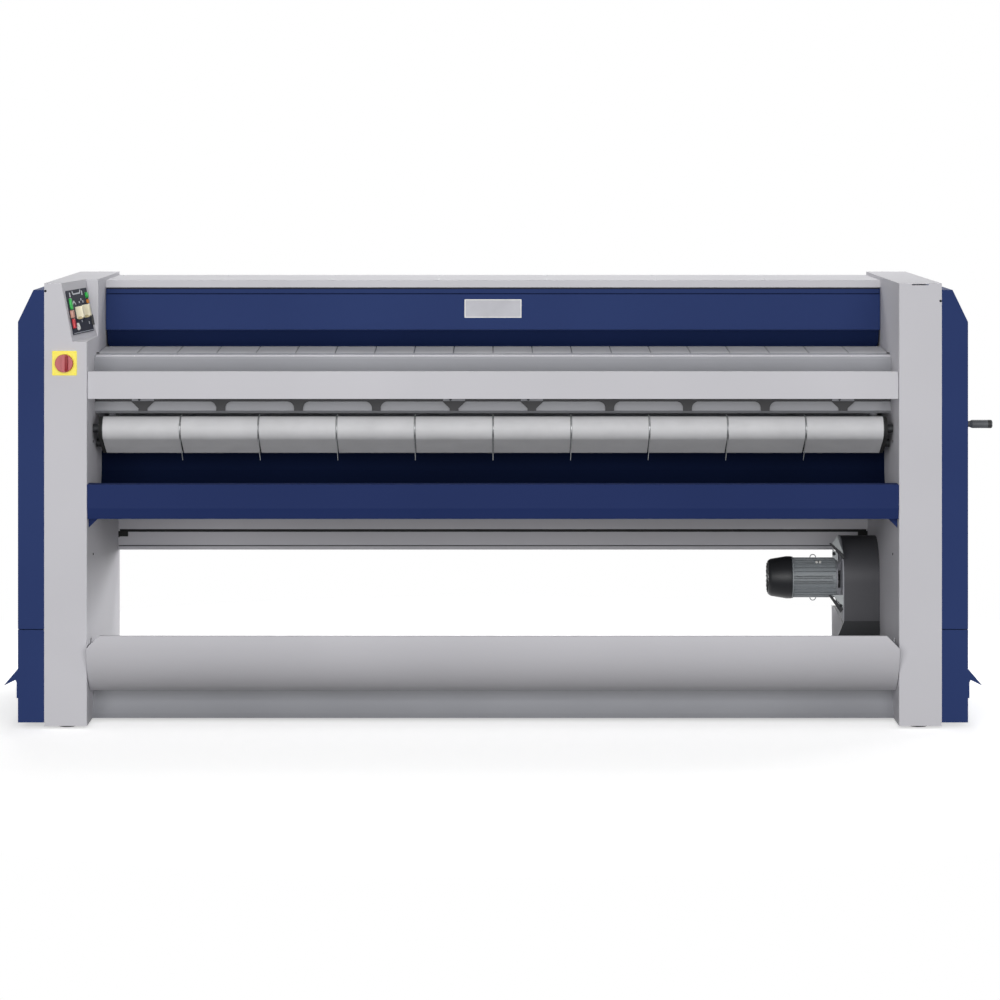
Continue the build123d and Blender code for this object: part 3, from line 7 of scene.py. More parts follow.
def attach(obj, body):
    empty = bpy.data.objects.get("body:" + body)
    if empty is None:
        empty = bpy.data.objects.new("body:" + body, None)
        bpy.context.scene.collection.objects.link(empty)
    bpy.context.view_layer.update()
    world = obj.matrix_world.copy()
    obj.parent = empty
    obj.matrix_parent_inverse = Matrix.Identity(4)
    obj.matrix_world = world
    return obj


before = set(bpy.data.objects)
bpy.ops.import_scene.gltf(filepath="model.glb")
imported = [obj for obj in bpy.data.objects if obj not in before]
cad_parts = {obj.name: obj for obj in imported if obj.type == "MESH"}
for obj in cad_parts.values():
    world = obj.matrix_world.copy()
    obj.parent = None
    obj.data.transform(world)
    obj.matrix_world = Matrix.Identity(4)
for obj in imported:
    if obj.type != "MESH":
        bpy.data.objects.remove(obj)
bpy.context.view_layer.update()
mm = 0.001
frontFace = -575  # the columns' front faces, mm from the machine's middle


def at(x, depth, height):  # a point in metres, depth counted from the columns' front
    return Vector((x * mm, (frontFace + depth) * mm, height * mm))


# Where the camera stands
camera = {
    "place": (0, -13.625, 2.11),  # eye level, far back, as the picture was taken
    "lens": 131.54,
    "shiftX": 0.007,
    "shiftY": -0.362,             # the lens is slid down instead of tilted, so uprights stay upright
}
bpy.ops.object.select_all(action="DESELECT")
bpy.ops.object.camera_add(location=camera["place"], rotation=(math.radians(90), 0, 0))
eye = bpy.context.object
eye.data.lens = camera["lens"]
eye.data.sensor_width = 36
eye.data.shift_x = camera["shiftX"]
eye.data.shift_y = camera["shiftY"]
eye.data.clip_end = 200
bpy.context.scene.camera = eye
bpy.context.scene.view_settings.view_transform = "Standard"
print("camera set")


# Nodes and colours
def colour(code):  # sRGB hex to the linear values that shaders want
    parts = [int(code[i:i + 2], 16) / 255 for i in (1, 3, 5)]
    return [p / 12.92 if p <= 0.04045 else ((p + 0.055) / 1.055) ** 2.4 for p in parts] + [1.0]


def addNode(tree, kind, settings=None, links=None):
    added = tree.nodes.new(kind)
    for key, value in (settings or {}).items():
        if key == "ramp":
            for spot, (place, code) in enumerate(value):
                if spot > 1:
                    added.color_ramp.elements.new(place)
                added.color_ramp.elements[spot].position = place
                added.color_ramp.elements[spot].color = colour(code)
        elif key in added.inputs:
            added.inputs[key].default_value = value
        else:
            setattr(added, key, value)
    for key, source in (links or {}).items():  # a key is a socket's name or its number
        tree.links.new(source, added.inputs[key])
    return added


def newMaterial(name):
    made = bpy.data.materials.new(name)
    made.use_nodes = True
    made.node_tree.nodes.clear()
    return made, made.node_tree


def perMm(size):  # a texture scale for a pattern that repeats every so many millimetres
    return 1000 / size


# Powder coat: sprayed and baked, so a satin skin with a faint orange peel and almost no tone change.
coatPeel, coatDepth = 7, 0.00006  # mm between the peaks, and how deep the bump is in metres
powderCoats = {
    "powderCoatLightGrey": {"tones": ("#c6c5ca", "#cccbd0"), "roughness": 0.60, "gleam": 0.15},
    "powderCoatPanelBlue": {"tones": ("#2a3967", "#2d3d6c"), "roughness": 0.62, "gleam": 0.06},
    "powderCoatDarkBlue": {"tones": ("#22305c", "#253361"), "roughness": 0.62, "gleam": 0.06},
    # The next two blues are the panel blue darkened: painted shade for the inner apron, the finger guard and the
    # hood's step line, which sit in deep shade.
    "navyPaintedShade": {"tones": ("#060f26", "#08122c"), "roughness": 0.70, "gleam": 0.03},
    "nightBluePaintedShade": {"tones": ("#131f40", "#162246"), "roughness": 0.66, "gleam": 0.05},
    "powderCoatGraphite": {"tones": ("#424246", "#49494d"), "roughness": 0.50, "depth": 0.00008},
    "powderCoatBlack": {"tones": ("#242527", "#292a2d"), "roughness": 0.42},
    "powderCoatBracketGrey": {"tones": ("#39393b", "#3f3f41"), "roughness": 0.52},
    "machinePaintGrey": {"tones": ("#8b8c90", "#93949a"), "roughness": 0.55, "peel": 9, "depth": 0.0001},
    "castPrimerGrey": {"tones": ("#a9adae", "#b1b5b6"), "roughness": 0.55, "gleam": 0.2, "peel": 6,
                       "depth": 0.00008},
    # The next grey is the casing grey darkened: painted shade on the feed table's lip, the guide plate and the base
    # crossmember, which lie in shade.
    "greyEnamelPaintedShade": {"tones": ("#96979c", "#9e9fa4"), "roughness": 0.34, "peel": 8, "depth": 0.00005},
}
finishes = {}
for name, look in powderCoats.items():
    made, tree = newMaterial(name)
    coord = addNode(tree, "ShaderNodeTexCoord")
    broad = addNode(tree, "ShaderNodeTexNoise", {"Scale": perMm(700), "Detail": 2.0},
                    {"Vector": coord.outputs["Object"]})
    tone = addNode(tree, "ShaderNodeValToRGB", {"ramp": [(0.3, look["tones"][0]), (0.7, look["tones"][1])]},
                   {"Fac": broad.outputs["Fac"]})
    peel = addNode(tree, "ShaderNodeTexNoise", {"Scale": perMm(look.get("peel", coatPeel)), "Detail": 1.5},
                   {"Vector": coord.outputs["Object"]})  # real peel is 1 to 2 mm: drawn coarser so it shows
    sheen = addNode(tree, "ShaderNodeMapRange",
                    {"To Min": look["roughness"] - 0.03, "To Max": look["roughness"] + 0.03},
                    {"Value": peel.outputs["Fac"]})
    bump = addNode(tree, "ShaderNodeBump", {"Strength": 0.35, "Distance": look.get("depth", coatDepth)},
                   {"Height": peel.outputs["Fac"]})
    shader = addNode(tree, "ShaderNodeBsdfPrincipled", {"Specular IOR Level": look.get("gleam", 0.25)},
                     {"Base Color": tone.outputs["Color"], "Roughness": sheen.outputs["Result"],
                      "Normal": bump.outputs["Normal"]})
    addNode(tree, "ShaderNodeOutputMaterial", {}, {"Surface": shader.outputs["BSDF"]})
    finishes[name] = made

# Moulded plastics and rubber: one dyed colour through, a fine mould grain that breaks the gloss.
mouldGrain, mouldDepth = 3, 0.00003
mouldings = {
    "polycarbonateYellow": {"tones": ("#efe024", "#f4e62f"), "roughness": 0.28},
    "polycarbonateRed": {"tones": ("#aa353b", "#b33d43"), "roughness": 0.30},
    # A darker copy of the switch red: painted shade for the grip's ridge.
    "polycarbonateRedPaintedShade": {"tones": ("#8b242a", "#93292f"), "roughness": 0.45, "gleam": 0.2},
    "polyamideBlack": {"tones": ("#141516", "#191a1c"), "roughness": 0.48, "depth": 0.00005},
    "polyamideGripGrey": {"tones": ("#56585b", "#5c5e61"), "roughness": 0.50, "grain": 4, "depth": 0.00006},
    "polyamideWhite": {"tones": ("#e2e2de", "#ecece8"), "roughness": 0.40},
    "nitrileRubberBlack": {"tones": ("#121212", "#181818"), "roughness": 0.75, "grain": 4, "depth": 0.0001},
    "absKeyCream": {"tones": ("#fbf2d2", "#fff6da"), "roughness": 0.34},
    "absKeyGreen": {"tones": ("#2fb44c", "#36c154"), "roughness": 0.32},
    "absKeyRed": {"tones": ("#c22c34", "#cc343c"), "roughness": 0.32},
    # A darker copy of the key cream: painted shade for the rockers' lower steps.
    "absKeyCreamPaintedShade": {"tones": ("#c9bb8c", "#d2c497"), "roughness": 0.36},
    "absKeyRose": {"tones": ("#b98878", "#c29080"), "roughness": 0.36},
    "acrylicLampAmber": {"tones": ("#e08a3c", "#ea9446"), "roughness": 0.18, "grain": 4, "depth": 0.00002},
    "polyesterFilmBlack": {"tones": ("#2a2c36", "#2f323d"), "roughness": 0.6, "gleam": 0.12, "grain": 5,
                           "depth": 0.00002},
    "printedPlateSilver": {"tones": ("#bbbbc1", "#c3c3c9"), "roughness": 0.5, "gleam": 0.2, "grain": 5,
                           "depth": 0.00002},
    "printedFilmWhite": {"tones": ("#c9ccd2", "#d5d8dd"), "roughness": 0.45, "grain": 5, "depth": 0.00002},
}
for name, look in mouldings.items():
    made, tree = newMaterial(name)
    coord = addNode(tree, "ShaderNodeTexCoord")
    cloud = addNode(tree, "ShaderNodeTexNoise", {"Scale": perMm(60), "Detail": 2.0},
                    {"Vector": coord.outputs["Object"]})
    tone = addNode(tree, "ShaderNodeValToRGB", {"ramp": [(0.3, look["tones"][0]), (0.7, look["tones"][1])]},
                   {"Fac": cloud.outputs["Fac"]})
    grain = addNode(tree, "ShaderNodeTexNoise", {"Scale": perMm(look.get("grain", mouldGrain)), "Detail": 2.0},
                    {"Vector": coord.outputs["Object"]})
    bump = addNode(tree, "ShaderNodeBump", {"Strength": 0.4, "Distance": look.get("depth", mouldDepth)},
                   {"Height": grain.outputs["Fac"]})
    shader = addNode(tree, "ShaderNodeBsdfPrincipled",
                     {"Roughness": look["roughness"], "IOR": 1.5, "Specular IOR Level": look.get("gleam", 0.4)},
                     {"Base Color": tone.outputs["Color"], "Normal": bump.outputs["Normal"]})
    addNode(tree, "ShaderNodeOutputMaterial", {}, {"Surface": shader.outputs["BSDF"]})
    finishes[name] = made

# Metals with the marks of how they were cut: streaks run round what was turned and along what was brushed.
metals = {  # stretch is the length of the streaks along X, Y and Z, mm
    "turnedRollerSteel": {"tones": ("#9a9b9e", "#acadb0"), "roughness": 0.34, "stretch": (1.5, 60, 60)},
    "polishedCylinderSteel": {"tones": ("#b6b7bb", "#c2c3c7"), "roughness": 0.16, "stretch": (2, 120, 120)},
    "zincPlatedSteel": {"tones": ("#a9abad", "#bcbec0"), "roughness": 0.32, "stretch": (6, 6, 6)},
    "blackenedSteel": {"tones": ("#1b1c1e", "#232426"), "roughness": 0.38, "stretch": (5, 5, 5)},
    "oiledCastIron": {"tones": ("#3c3d3f", "#4a4b4d"), "roughness": 0.55, "stretch": (7, 7, 7)},
}
for name, look in metals.items():
    made, tree = newMaterial(name)
    coord = addNode(tree, "ShaderNodeTexCoord")
    turn = addNode(tree, "ShaderNodeMapping", {"Scale": [perMm(length) for length in look["stretch"]]},
                   {"Vector": coord.outputs["Object"]})
    streak = addNode(tree, "ShaderNodeTexNoise", {"Scale": 1.0, "Detail": 3.0}, {"Vector": turn.outputs["Vector"]})
    tone = addNode(tree, "ShaderNodeValToRGB", {"ramp": [(0.25, look["tones"][0]), (0.75, look["tones"][1])]},
                   {"Fac": streak.outputs["Fac"]})
    dull = addNode(tree, "ShaderNodeMapRange",
                   {"To Min": look["roughness"] - 0.05, "To Max": look["roughness"] + 0.07},
                   {"Value": streak.outputs["Fac"]})
    bump = addNode(tree, "ShaderNodeBump", {"Strength": 0.3, "Distance": 0.00005},
                   {"Height": streak.outputs["Fac"]})
    shader = addNode(tree, "ShaderNodeBsdfPrincipled", {"Metallic": 1.0},
                     {"Base Color": tone.outputs["Color"], "Roughness": dull.outputs["Result"],
                      "Normal": bump.outputs["Normal"]})
    addNode(tree, "ShaderNodeOutputMaterial", {}, {"Surface": shader.outputs["BSDF"]})
    finishes[name] = made

# Painted aluminium pressure casting: a sandy skin that scatters light under a thin grey paint.
made, tree = newMaterial("paintedCastAluminium")
coord = addNode(tree, "ShaderNodeTexCoord")
sand = addNode(tree, "ShaderNodeTexNoise", {"Scale": perMm(4), "Detail": 4.0}, {"Vector": coord.outputs["Object"]})
tone = addNode(tree, "ShaderNodeValToRGB", {"ramp": [(0.3, "#868b8e"), (0.7, "#90959a")]},
               {"Fac": sand.outputs["Fac"]})
bump = addNode(tree, "ShaderNodeBump", {"Strength": 0.3, "Distance": 0.00008}, {"Height": sand.outputs["Fac"]})
shader = addNode(tree, "ShaderNodeBsdfPrincipled", {"Roughness": 0.45, "Specular IOR Level": 0.5},
                 {"Base Color": tone.outputs["Color"], "Normal": bump.outputs["Normal"]})
addNode(tree, "ShaderNodeOutputMaterial", {}, {"Surface": shader.outputs["BSDF"]})
finishes["paintedCastAluminium"] = made

# Woven aramid belt, calendered smooth: plain weave of 1.2 mm threads, drawn at 5 mm so that it shows.
made, tree = newMaterial("wovenAramidBelt")
coord = addNode(tree, "ShaderNodeTexCoord")
warp = addNode(tree, "ShaderNodeTexWave",
               {"Scale": perMm(5) / 6.28, "bands_direction": "X", "Distortion": 0.6, "Detail": 1.0},
               {"Vector": coord.outputs["Object"]})
weft = addNode(tree, "ShaderNodeTexWave",
               {"Scale": perMm(5) / 6.28, "bands_direction": "DIAGONAL", "Distortion": 0.6,
                                           "Detail": 1.0}, {"Vector": coord.outputs["Object"]})
threads = addNode(tree, "ShaderNodeMath", {"operation": "MULTIPLY"})
tree.links.new(warp.outputs["Fac"], threads.inputs[0])
tree.links.new(weft.outputs["Fac"], threads.inputs[1])
fuzz = addNode(tree, "ShaderNodeTexNoise", {"Scale": perMm(90), "Detail": 5.0}, {"Vector": coord.outputs["Object"]})
tone = addNode(tree, "ShaderNodeValToRGB", {"ramp": [(0.3, "#c6c6c8"), (0.7, "#cfcfd1")]},
               {"Fac": fuzz.outputs["Fac"]})
bump = addNode(tree, "ShaderNodeBump", {"Strength": 0.25, "Distance": 0.0002}, {"Height": threads.outputs["Value"]})
shader = addNode(tree, "ShaderNodeBsdfPrincipled", {"Roughness": 0.62, "Sheen Weight": 0.1, "Sheen Roughness": 0.5},
                 {"Base Color": tone.outputs["Color"], "Normal": bump.outputs["Normal"]})
addNode(tree, "ShaderNodeOutputMaterial", {}, {"Surface": shader.outputs["BSDF"]})
finishes["wovenAramidBelt"] = made
print("finishes made:", len(finishes))

nodeFinish = {
    "powderCoatLightGrey": ["left_column_cover", "right_column_cover", "column_caps", "top_cover", "rear_panel",
                            "rear_lower_rail", "front_rail", "receiving_tray"],
    "powderCoatPanelBlue": ["left_upper_panel", "left_lower_panel", "right_upper_panel", "right_lower_panel",
                            "hood",
                            "supply_inlet"],
    "powderCoatDarkBlue": ["front_beam"],
    "navyPaintedShade": ["inner_apron"],
    "nightBluePaintedShade": ["finger_guard"],
    "powderCoatGraphite": ["fan_housing", "fan_impeller"],
    "powderCoatBlack": ["exhaust_duct"],
    "powderCoatBracketGrey": ["guide_brackets", "crank_arm"],
    "machinePaintGrey": ["left_side_frame", "right_side_frame", "stripper_plate", "roller_bearings", "fan_bracket"],
    "greyEnamelPaintedShade": ["feed_table", "guide_plate", "base_crossmember"],
    "oiledCastIron": ["gearbox", "transfer_chains", "return_roller", "return_tail_roller"],
    "turnedRollerSteel": ["nip_roller", "lower_belt_roller", "rear_belt_roller", "tension_roller",
                          "feed_nose_roller",
                          "feed_rear_roller", "heating_elements"],
    "polishedCylinderSteel": ["heated_cylinder"],
    "printedPlateSilver": ["name_plate"],
    "zincPlatedSteel": ["guide_wires"],
    "paintedCastAluminium": ["fan_motor", "drive_motor"],
    "wovenAramidBelt": ["ironing_belts", "return_belts", "feed_belts"],
    "nitrileRubberBlack": ["levelling_feet"],
    "polyamideGripGrey": ["crank_grip"],
    "polycarbonateYellow": ["main_switch_plate"],
    "polycarbonateRed": ["main_switch_knob"],
    "polyesterFilmBlack": ["control_panel"],
    "acrylicLampAmber": ["indicator_lamps"],
    "absKeyGreen": ["start_key", "feed_key"],
    "absKeyCream": ["speed_key", "heat_key"],
    "absKeyRed": ["stop_key"],
}
for finish, names in nodeFinish.items():
    for name in names:
        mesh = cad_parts[name].data
        mesh.materials.clear()
        mesh.materials.append(finishes[finish])
print("CAD nodes dressed:", sum(len(names) for names in nodeFinish.values()))


# What the modelling below uses again and again
def freeHands():
    if bpy.context.mode != "OBJECT":
        bpy.ops.object.mode_set(mode="OBJECT")
    bpy.ops.object.select_all(action="DESELECT")


def block(name, low, high):  # a cube between two corners, mm
    freeHands()
    bpy.ops.mesh.primitive_cube_add(size=1, location=[(a + b) / 2 * mm for a, b in zip(low, high)])
    piece = bpy.context.object
    piece.scale = [abs(b - a) * mm for a, b in zip(low, high)]
    bpy.ops.object.transform_apply(location=True, rotation=True, scale=True)
    piece.name = name
    return piece


def rod(name, start, end, radius, sides=32):  # a cylinder between two points, mm
    freeHands()
    start, end = Vector(start), Vector(end)
    bpy.ops.mesh.primitive_cylinder_add(vertices=sides, radius=radius * mm, depth=(end - start).length * mm,
                                        location=(start + end) / 2 * mm)
    piece = bpy.context.object
    piece.rotation_euler = (end - start).to_track_quat("Z", "Y").to_euler()
    bpy.ops.object.transform_apply(location=True, rotation=True, scale=True)
    piece.name = name
    return piece


def pick(piece, what, test):  # selects faces, edges or corners in edit mode; the test gets a middle in mm and a way
    freeHands()
    piece.select_set(True)
    bpy.context.view_layer.objects.active = piece
    bpy.ops.object.mode_set(mode="EDIT")
    bpy.ops.mesh.select_mode(type=what)
    bpy.ops.mesh.select_all(action="DESELECT")
    mesh = bmesh.from_edit_mesh(piece.data)
    for part in {"FACE": mesh.faces, "EDGE": mesh.edges, "VERT": mesh.verts}[what]:
        if what == "FACE":
            middle, way = part.calc_center_median(), part.normal
        elif what == "VERT":
            middle, way = part.co, part.normal
        else:
            middle = (part.verts[0].co + part.verts[1].co) / 2
            way = (part.verts[1].co - part.verts[0].co).normalized()
        if test(middle / mm, way):
            part.select_set(True)
    bmesh.update_edit_mesh(piece.data)


def soften(piece, width, steps=2, angle=40):  # a rounded edge all over
    freeHands()
    bpy.context.view_layer.objects.active = piece
    edge = piece.modifiers.new("edge", "BEVEL")
    edge.width = width * mm
    edge.segments = steps
    edge.limit_method = "ANGLE"
    edge.angle_limit = math.radians(angle)
    bpy.ops.object.modifier_apply(modifier="edge")


def merge(name, pieces):
    freeHands()
    for piece in pieces:
        piece.select_set(True)
    bpy.context.view_layer.objects.active = pieces[0]
    if len(pieces) > 1:
        bpy.ops.object.join()
    pieces[0].name = name
    return pieces[0]


# a lathe shape: (distance along, radius) from one end to the other
def turned(name, start, axis, stations, sides=48):
    axis = Vector(axis)
    first, radius = stations[0]
    second = stations[1][0]
    piece = rod(name, Vector(start) + axis * first, Vector(start) + axis * second, radius, sides)
    for spot, (along, wide) in enumerate(stations[1:]):
        pick(piece, "FACE", lambda m,
             w: w.dot(axis) > 0.99 and (m - Vector(start)).dot(axis) > along - 0.01 if spot == 0
             else w.dot(axis) > 0.99)
        if spot > 0:
            step = (along - stations[spot][0]) * mm
            bpy.ops.mesh.extrude_region_move(TRANSFORM_OT_translate={"value": axis * step})
        ratio = wide / stations[spot][1]
        bpy.ops.transform.resize(value=[1 if abs(a) > 0.5 else ratio for a in axis])
    freeHands()
    return piece


def copies(master, name, places):  # places are (point mm, facing); the master faces up at the origin
    made = []
    for point, facing in places:
        freeHands()
        master.select_set(True)
        bpy.context.view_layer.objects.active = master
        bpy.ops.object.duplicate(linked=False)
        copy = bpy.context.object
        turn = Vector(facing).to_track_quat("Z", "Y").to_matrix().to_4x4()
        copy.matrix_world = Matrix.Translation(Vector(point) * mm) @ turn
        bpy.ops.object.transform_apply(location=True, rotation=True, scale=True)
        made.append(copy)
    freeHands()
    bpy.data.objects.remove(master)
    return merge(name, made)


def hand(piece, finish, body="frame"):  # the last steps for every new piece
    freeHands()
    piece.select_set(True)
    bpy.context.view_layer.objects.active = piece
    bpy.ops.object.transform_apply(location=True, rotation=True, scale=True)
    bpy.ops.object.shade_smooth_by_angle(angle=math.radians(35))
    piece.data.materials.clear()
    piece.data.materials.append(finishes[finish])
    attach(piece, body)
    return piece


def buttonScrew(radius, rise, sides=14):  # a round head with a sunk hexagon, facing up at the origin
    screw = rod("screw", (0, 0, 0), (0, 0, rise), radius, sides)
    pick(screw, "EDGE", lambda m, w: m.z > rise * 0.9 and abs(w.z) < 0.1)
    bpy.ops.mesh.bevel(offset=rise * 0.45 * mm, segments=2)
    pick(screw, "FACE", lambda m, w: w.z > 0.95)
    bpy.ops.mesh.inset(thickness=radius * 0.28 * mm)
    bpy.ops.mesh.extrude_region_move(TRANSFORM_OT_translate={"value": (0, 0, -rise * 0.5 * mm)})
    freeHands()
    return screw


def hexBolt(radius, rise):  # hexagon head on a washer, facing up at the origin
    washer = rod("washer", (0, 0, 0), (0, 0, rise * 0.25), radius * 1.35, 20)
    head = rod("head", (0, 0, rise * 0.25), (0, 0, rise), radius, 6)
    pick(head, "EDGE", lambda m, w: m.z > rise * 0.9 and abs(w.z) < 0.1)
    bpy.ops.mesh.bevel(offset=radius * 0.12 * mm, segments=1)
    return merge("bolt", [washer, head])


columnFronts = {"screwRadius": 4.5, "screwRise": 2, "frontScrews": ((-1603.6 + 5, 1563.6), (1598.6, 1527.9)),
                "ledgeScrew": (-1455, 360, 1380), "faceScrews": ((196, 602), (196, 1010), (196, 205))}
hand(copies(buttonScrew(columnFronts["screwRadius"], columnFronts["screwRise"]), "columnScrews",
            [((x, -575, z), (0, -1, 0)) for x, z in columnFronts["frontScrews"]]
            + [(at(*columnFronts["ledgeScrew"]) / mm, (0, 0, 1))]
            + [(at(side * 1450, depth, z) / mm, (-side, 0, 0)) for side in (-1, 1)
               for depth, z in columnFronts["faceScrews"]]), "blackenedSteel")

mainSwitch = {"x": -1530, "z": 1306, "knobFront": -614.5, "ridge": (9, 9.5, 52), "plateFront": -580,
              "screwCorner": 37}
shift, wide, tall = mainSwitch["ridge"]  # a ridge down the right of the grip, in a darker red: painted shade on the ridge's side
ridge = block("switchRidge",
              (mainSwitch["x"] + shift - wide / 2, mainSwitch["knobFront"] - 0.5, mainSwitch["z"] - tall / 2),
              (mainSwitch["x"] + shift + wide / 2, mainSwitch["knobFront"] + 17, mainSwitch["z"] + tall / 2))
soften(ridge, 0.8)
hand(ridge, "polycarbonateRedPaintedShade", "switch_knob")
corner = mainSwitch["screwCorner"]
hand(copies(buttonScrew(2.6, 1.2), "switchScrews",
            [((mainSwitch["x"] + sx * corner, mainSwitch["plateFront"], mainSwitch["z"] + sz * corner), (0, -1, 0))
             for sx in (-1, 1) for sz in (-1, 1)]), "polycarbonateYellow")
print("column fronts and main switch dressed")

# Places on it are along the panel, up it and out from it, in mm from its middle.
controlPlate = {
    "middle": (-1498.05, -392, 1480), "along": (0.12568, 0.99207, 0.0), "out": (0.974494, -0.123453, 0.187403),
    "film": 3.56, "lock": ((-153, -16), (-131, 11), 15), "latch": ((140, -56), (154, -18), 11),
    "knob": (-78, -55, 9, 9), "window": ((-71, 78), (-57, 67), (38, 68), (53, 79)),
    "marks": (((-108, 75), (-108, 58), 15), ((73, 75), (72, 59), 15), ((42, 48), (42, 40), 13),
              ((66, 40), (66, 31), 13),
              ((4, 35), (18, 35), 7), ((2, -30), (3, -38), 11), ((104, -40), (104, -50), 10),
              ((-92, 32), (-67, 42), 6), ((-67, 42), (-42, 28), 6), ((-150, -72.5), (148, -72.5), 2)),
}
alongPanel, outPanel = Vector(controlPlate["along"]), Vector(controlPlate["out"])
upPanel = outPanel.cross(alongPanel)
ontoPanel = (Matrix.Translation(Vector(controlPlate["middle"]) * mm)
             @ Matrix((alongPanel, upPanel, outPanel)).transposed().to_4x4())


def setOnPanel(piece):
    freeHands()
    piece.select_set(True)
    bpy.context.view_layer.objects.active = piece
    piece.matrix_world = ontoPanel @ piece.matrix_world
    bpy.ops.object.transform_apply(location=True, rotation=True, scale=True)
    return piece


def stroke(name, start, end, width):  # a printed line on the film
    start, end = Vector(start), Vector(end)
    line = block(name, (-(end - start).length / 2, -width / 2, 0), ((end - start).length / 2, width / 2, 0.3))
    soften(line, 0.1, 1)
    line.rotation_euler.z = math.atan2(end.y - start.y, end.x - start.x)
    line.location = Vector((*(start + end) / 2, controlPlate["film"])) * mm
    line.select_set(True)
    bpy.ops.object.transform_apply(location=True, rotation=True, scale=True)
    return line


corners = controlPlate["window"]
lines = [stroke("windowLine", corners[k], corners[k + 1], wide) for k, wide in enumerate((9, 5, 9))]
lines += [stroke("filmMark", start, end, width) for start, end, width in controlPlate["marks"]]
hand(setOnPanel(merge("panelPrint", lines)), "printedFilmWhite")
(lowU, lowV), (highU, highV), rise = controlPlate["lock"]
lock = block("panelLock", (lowU, lowV, controlPlate["film"]), (highU, highV, rise))
pick(lock, "FACE", lambda m, w: w.z > 0.9)
bpy.ops.mesh.inset(thickness=4 * mm)
bpy.ops.mesh.extrude_region_move(TRANSFORM_OT_translate={"value": (0, 0, -3 * mm)})
freeHands()
soften(lock, 1.2)
hand(setOnPanel(lock), "absKeyRose")
(lowU, lowV), (highU, highV), rise = controlPlate["latch"]
latch = block("panelLatch", (lowU, lowV, controlPlate["film"]), (highU, highV, rise))
pick(latch, "EDGE", lambda m, w: m.z > rise - 0.1 and abs(w.y) > 0.9)
bpy.ops.mesh.bevel(offset=3 * mm, segments=2)
freeHands()
hand(setOnPanel(latch), "polyamideBlack")
u, v, wide, rise = controlPlate["knob"]
knob = turned("panelKnob", (u, v, controlPlate["film"]), (0, 0, 1),
              ((0, wide), (2, wide), (rise - 2, wide * 0.86), (rise, wide * 0.6)), 28)
pick(knob, "VERT", lambda m, w: m.y > v + wide * 0.8)
bpy.ops.transform.translate(value=(0, 9 * mm, 0))
freeHands()
soften(knob, 0.5)
hand(setOnPanel(knob), "polyamideWhite")
rockers = {"speed": (-53, -4, 43), "heat": (50, -2, 44)}  # the lower step of each rocker, in a darker cream: painted shade on the key's lower part
for name, (u, v, tall) in rockers.items():
    step = block(name + "RockerStep", (u - 11.6, v - tall / 2 - 0.6, 8), (u + 11.6, v - tall / 2 + 9, 23))
    pick(step, "EDGE", lambda m, w: m.z > 22 and abs(w.x) > 0.9)
    bpy.ops.mesh.bevel(offset=4 * mm, segments=2)
    freeHands()
    soften(step, 0.6)
    hand(setOnPanel(step), "absKeyCreamPaintedShade", name + "_key_cap")
print("control panel dressed")

feedEdge = {"screws": 19, "pitch": 145, "depth": 250, "height": 1317.2, "screwRadius": 4.2, "endX": 1443,
            "endDepth": 297,
            "edge": (246.2, 1312, 1321), "highlightEnd": 1446, "highlightWall": 2}
hand(copies(buttonScrew(feedEdge["screwRadius"], 2.4), "lipScrews",
            [(at((k - (feedEdge["screws"] - 1) / 2) * feedEdge["pitch"], feedEdge["depth"],
                 feedEdge["height"]) / mm,
              (0, -0.45, 0.9))
             for k in range(feedEdge["screws"])]), "polyamideWhite")
# A light grey strip along the top edge of the feed table's nose: a painted highlight for the shine along that edge.
highlightDepth, low, high = feedEdge["edge"]
highlightStrip = block("lipHighlightStrip", at(-feedEdge["highlightEnd"], highlightDepth, low) / mm,
            at(feedEdge["highlightEnd"], highlightDepth + feedEdge["highlightWall"], high) / mm)
soften(highlightStrip, 0.8)
hand(highlightStrip, "powderCoatLightGrey")
hand(copies(buttonScrew(5.5, 3.4), "lipEndScrews",
            [(at(side * feedEdge["endX"], feedEdge["endDepth"], 1323.6) / mm, (0, 0, 1)) for side in (-1, 1)]),
     "blackenedSteel")

bracketTabs = {"brackets": (0, 4, 5, 9), "pitch": 283.2, "width": 80, "height": (1152.5, 1164), "depth": 247.4,
               "screwX": -13}
tabs, dots = [], []
for k in bracketTabs["brackets"]:
    x = (k - 4.5) * bracketTabs["pitch"]
    tab = block("bracketTab", at(x - bracketTabs["width"] / 2, bracketTabs["depth"], bracketTabs["height"][0]) / mm,
                at(x + bracketTabs["width"] / 2, bracketTabs["depth"] + 1.2, bracketTabs["height"][1]) / mm)
    soften(tab, 0.4, 1)
    tabs.append(tab)
    dots.append((at(x + bracketTabs["screwX"], bracketTabs["depth"], sum(bracketTabs["height"]) / 2) / mm,
                 (0, -1, 0)))
hand(merge("bracketTabs", tabs), "machinePaintGrey")
hand(copies(buttonScrew(4.5, 2.5), "bracketScrews", dots), "blackenedSteel")

# Narrow black belts close the ends of the return rollers.
edgeBelts = {"front": (205, 1056.5, 43.6), "tail": (330, 994, 37.1), "x": (1416.5, 1427), "wall": 3.2}
for side in (-1, 1):
    ends = []
    for depth, z, radius in (edgeBelts["front"], edgeBelts["tail"]):
        ends.append(rod("edgeBeltEnd", at(side * edgeBelts["x"][0], depth, z) / mm,
                        at(side * edgeBelts["x"][1], depth, z) / mm, radius, 64))
    band = merge("leftEdgeBelt" if side < 0 else "rightEdgeBelt", ends)
    pick(band, "FACE", lambda m, w: True)
    bpy.ops.mesh.convex_hull(join_triangles=True)
    pick(band, "FACE", lambda m, w: abs(w.x) > 0.99)
    bpy.ops.mesh.inset(thickness=edgeBelts["wall"] * mm, use_even_offset=True)
    bpy.ops.mesh.bridge_edge_loops(use_merge=False)
    freeHands()
    hand(band, "nitrileRubberBlack")
print("feeding and return edges dressed")


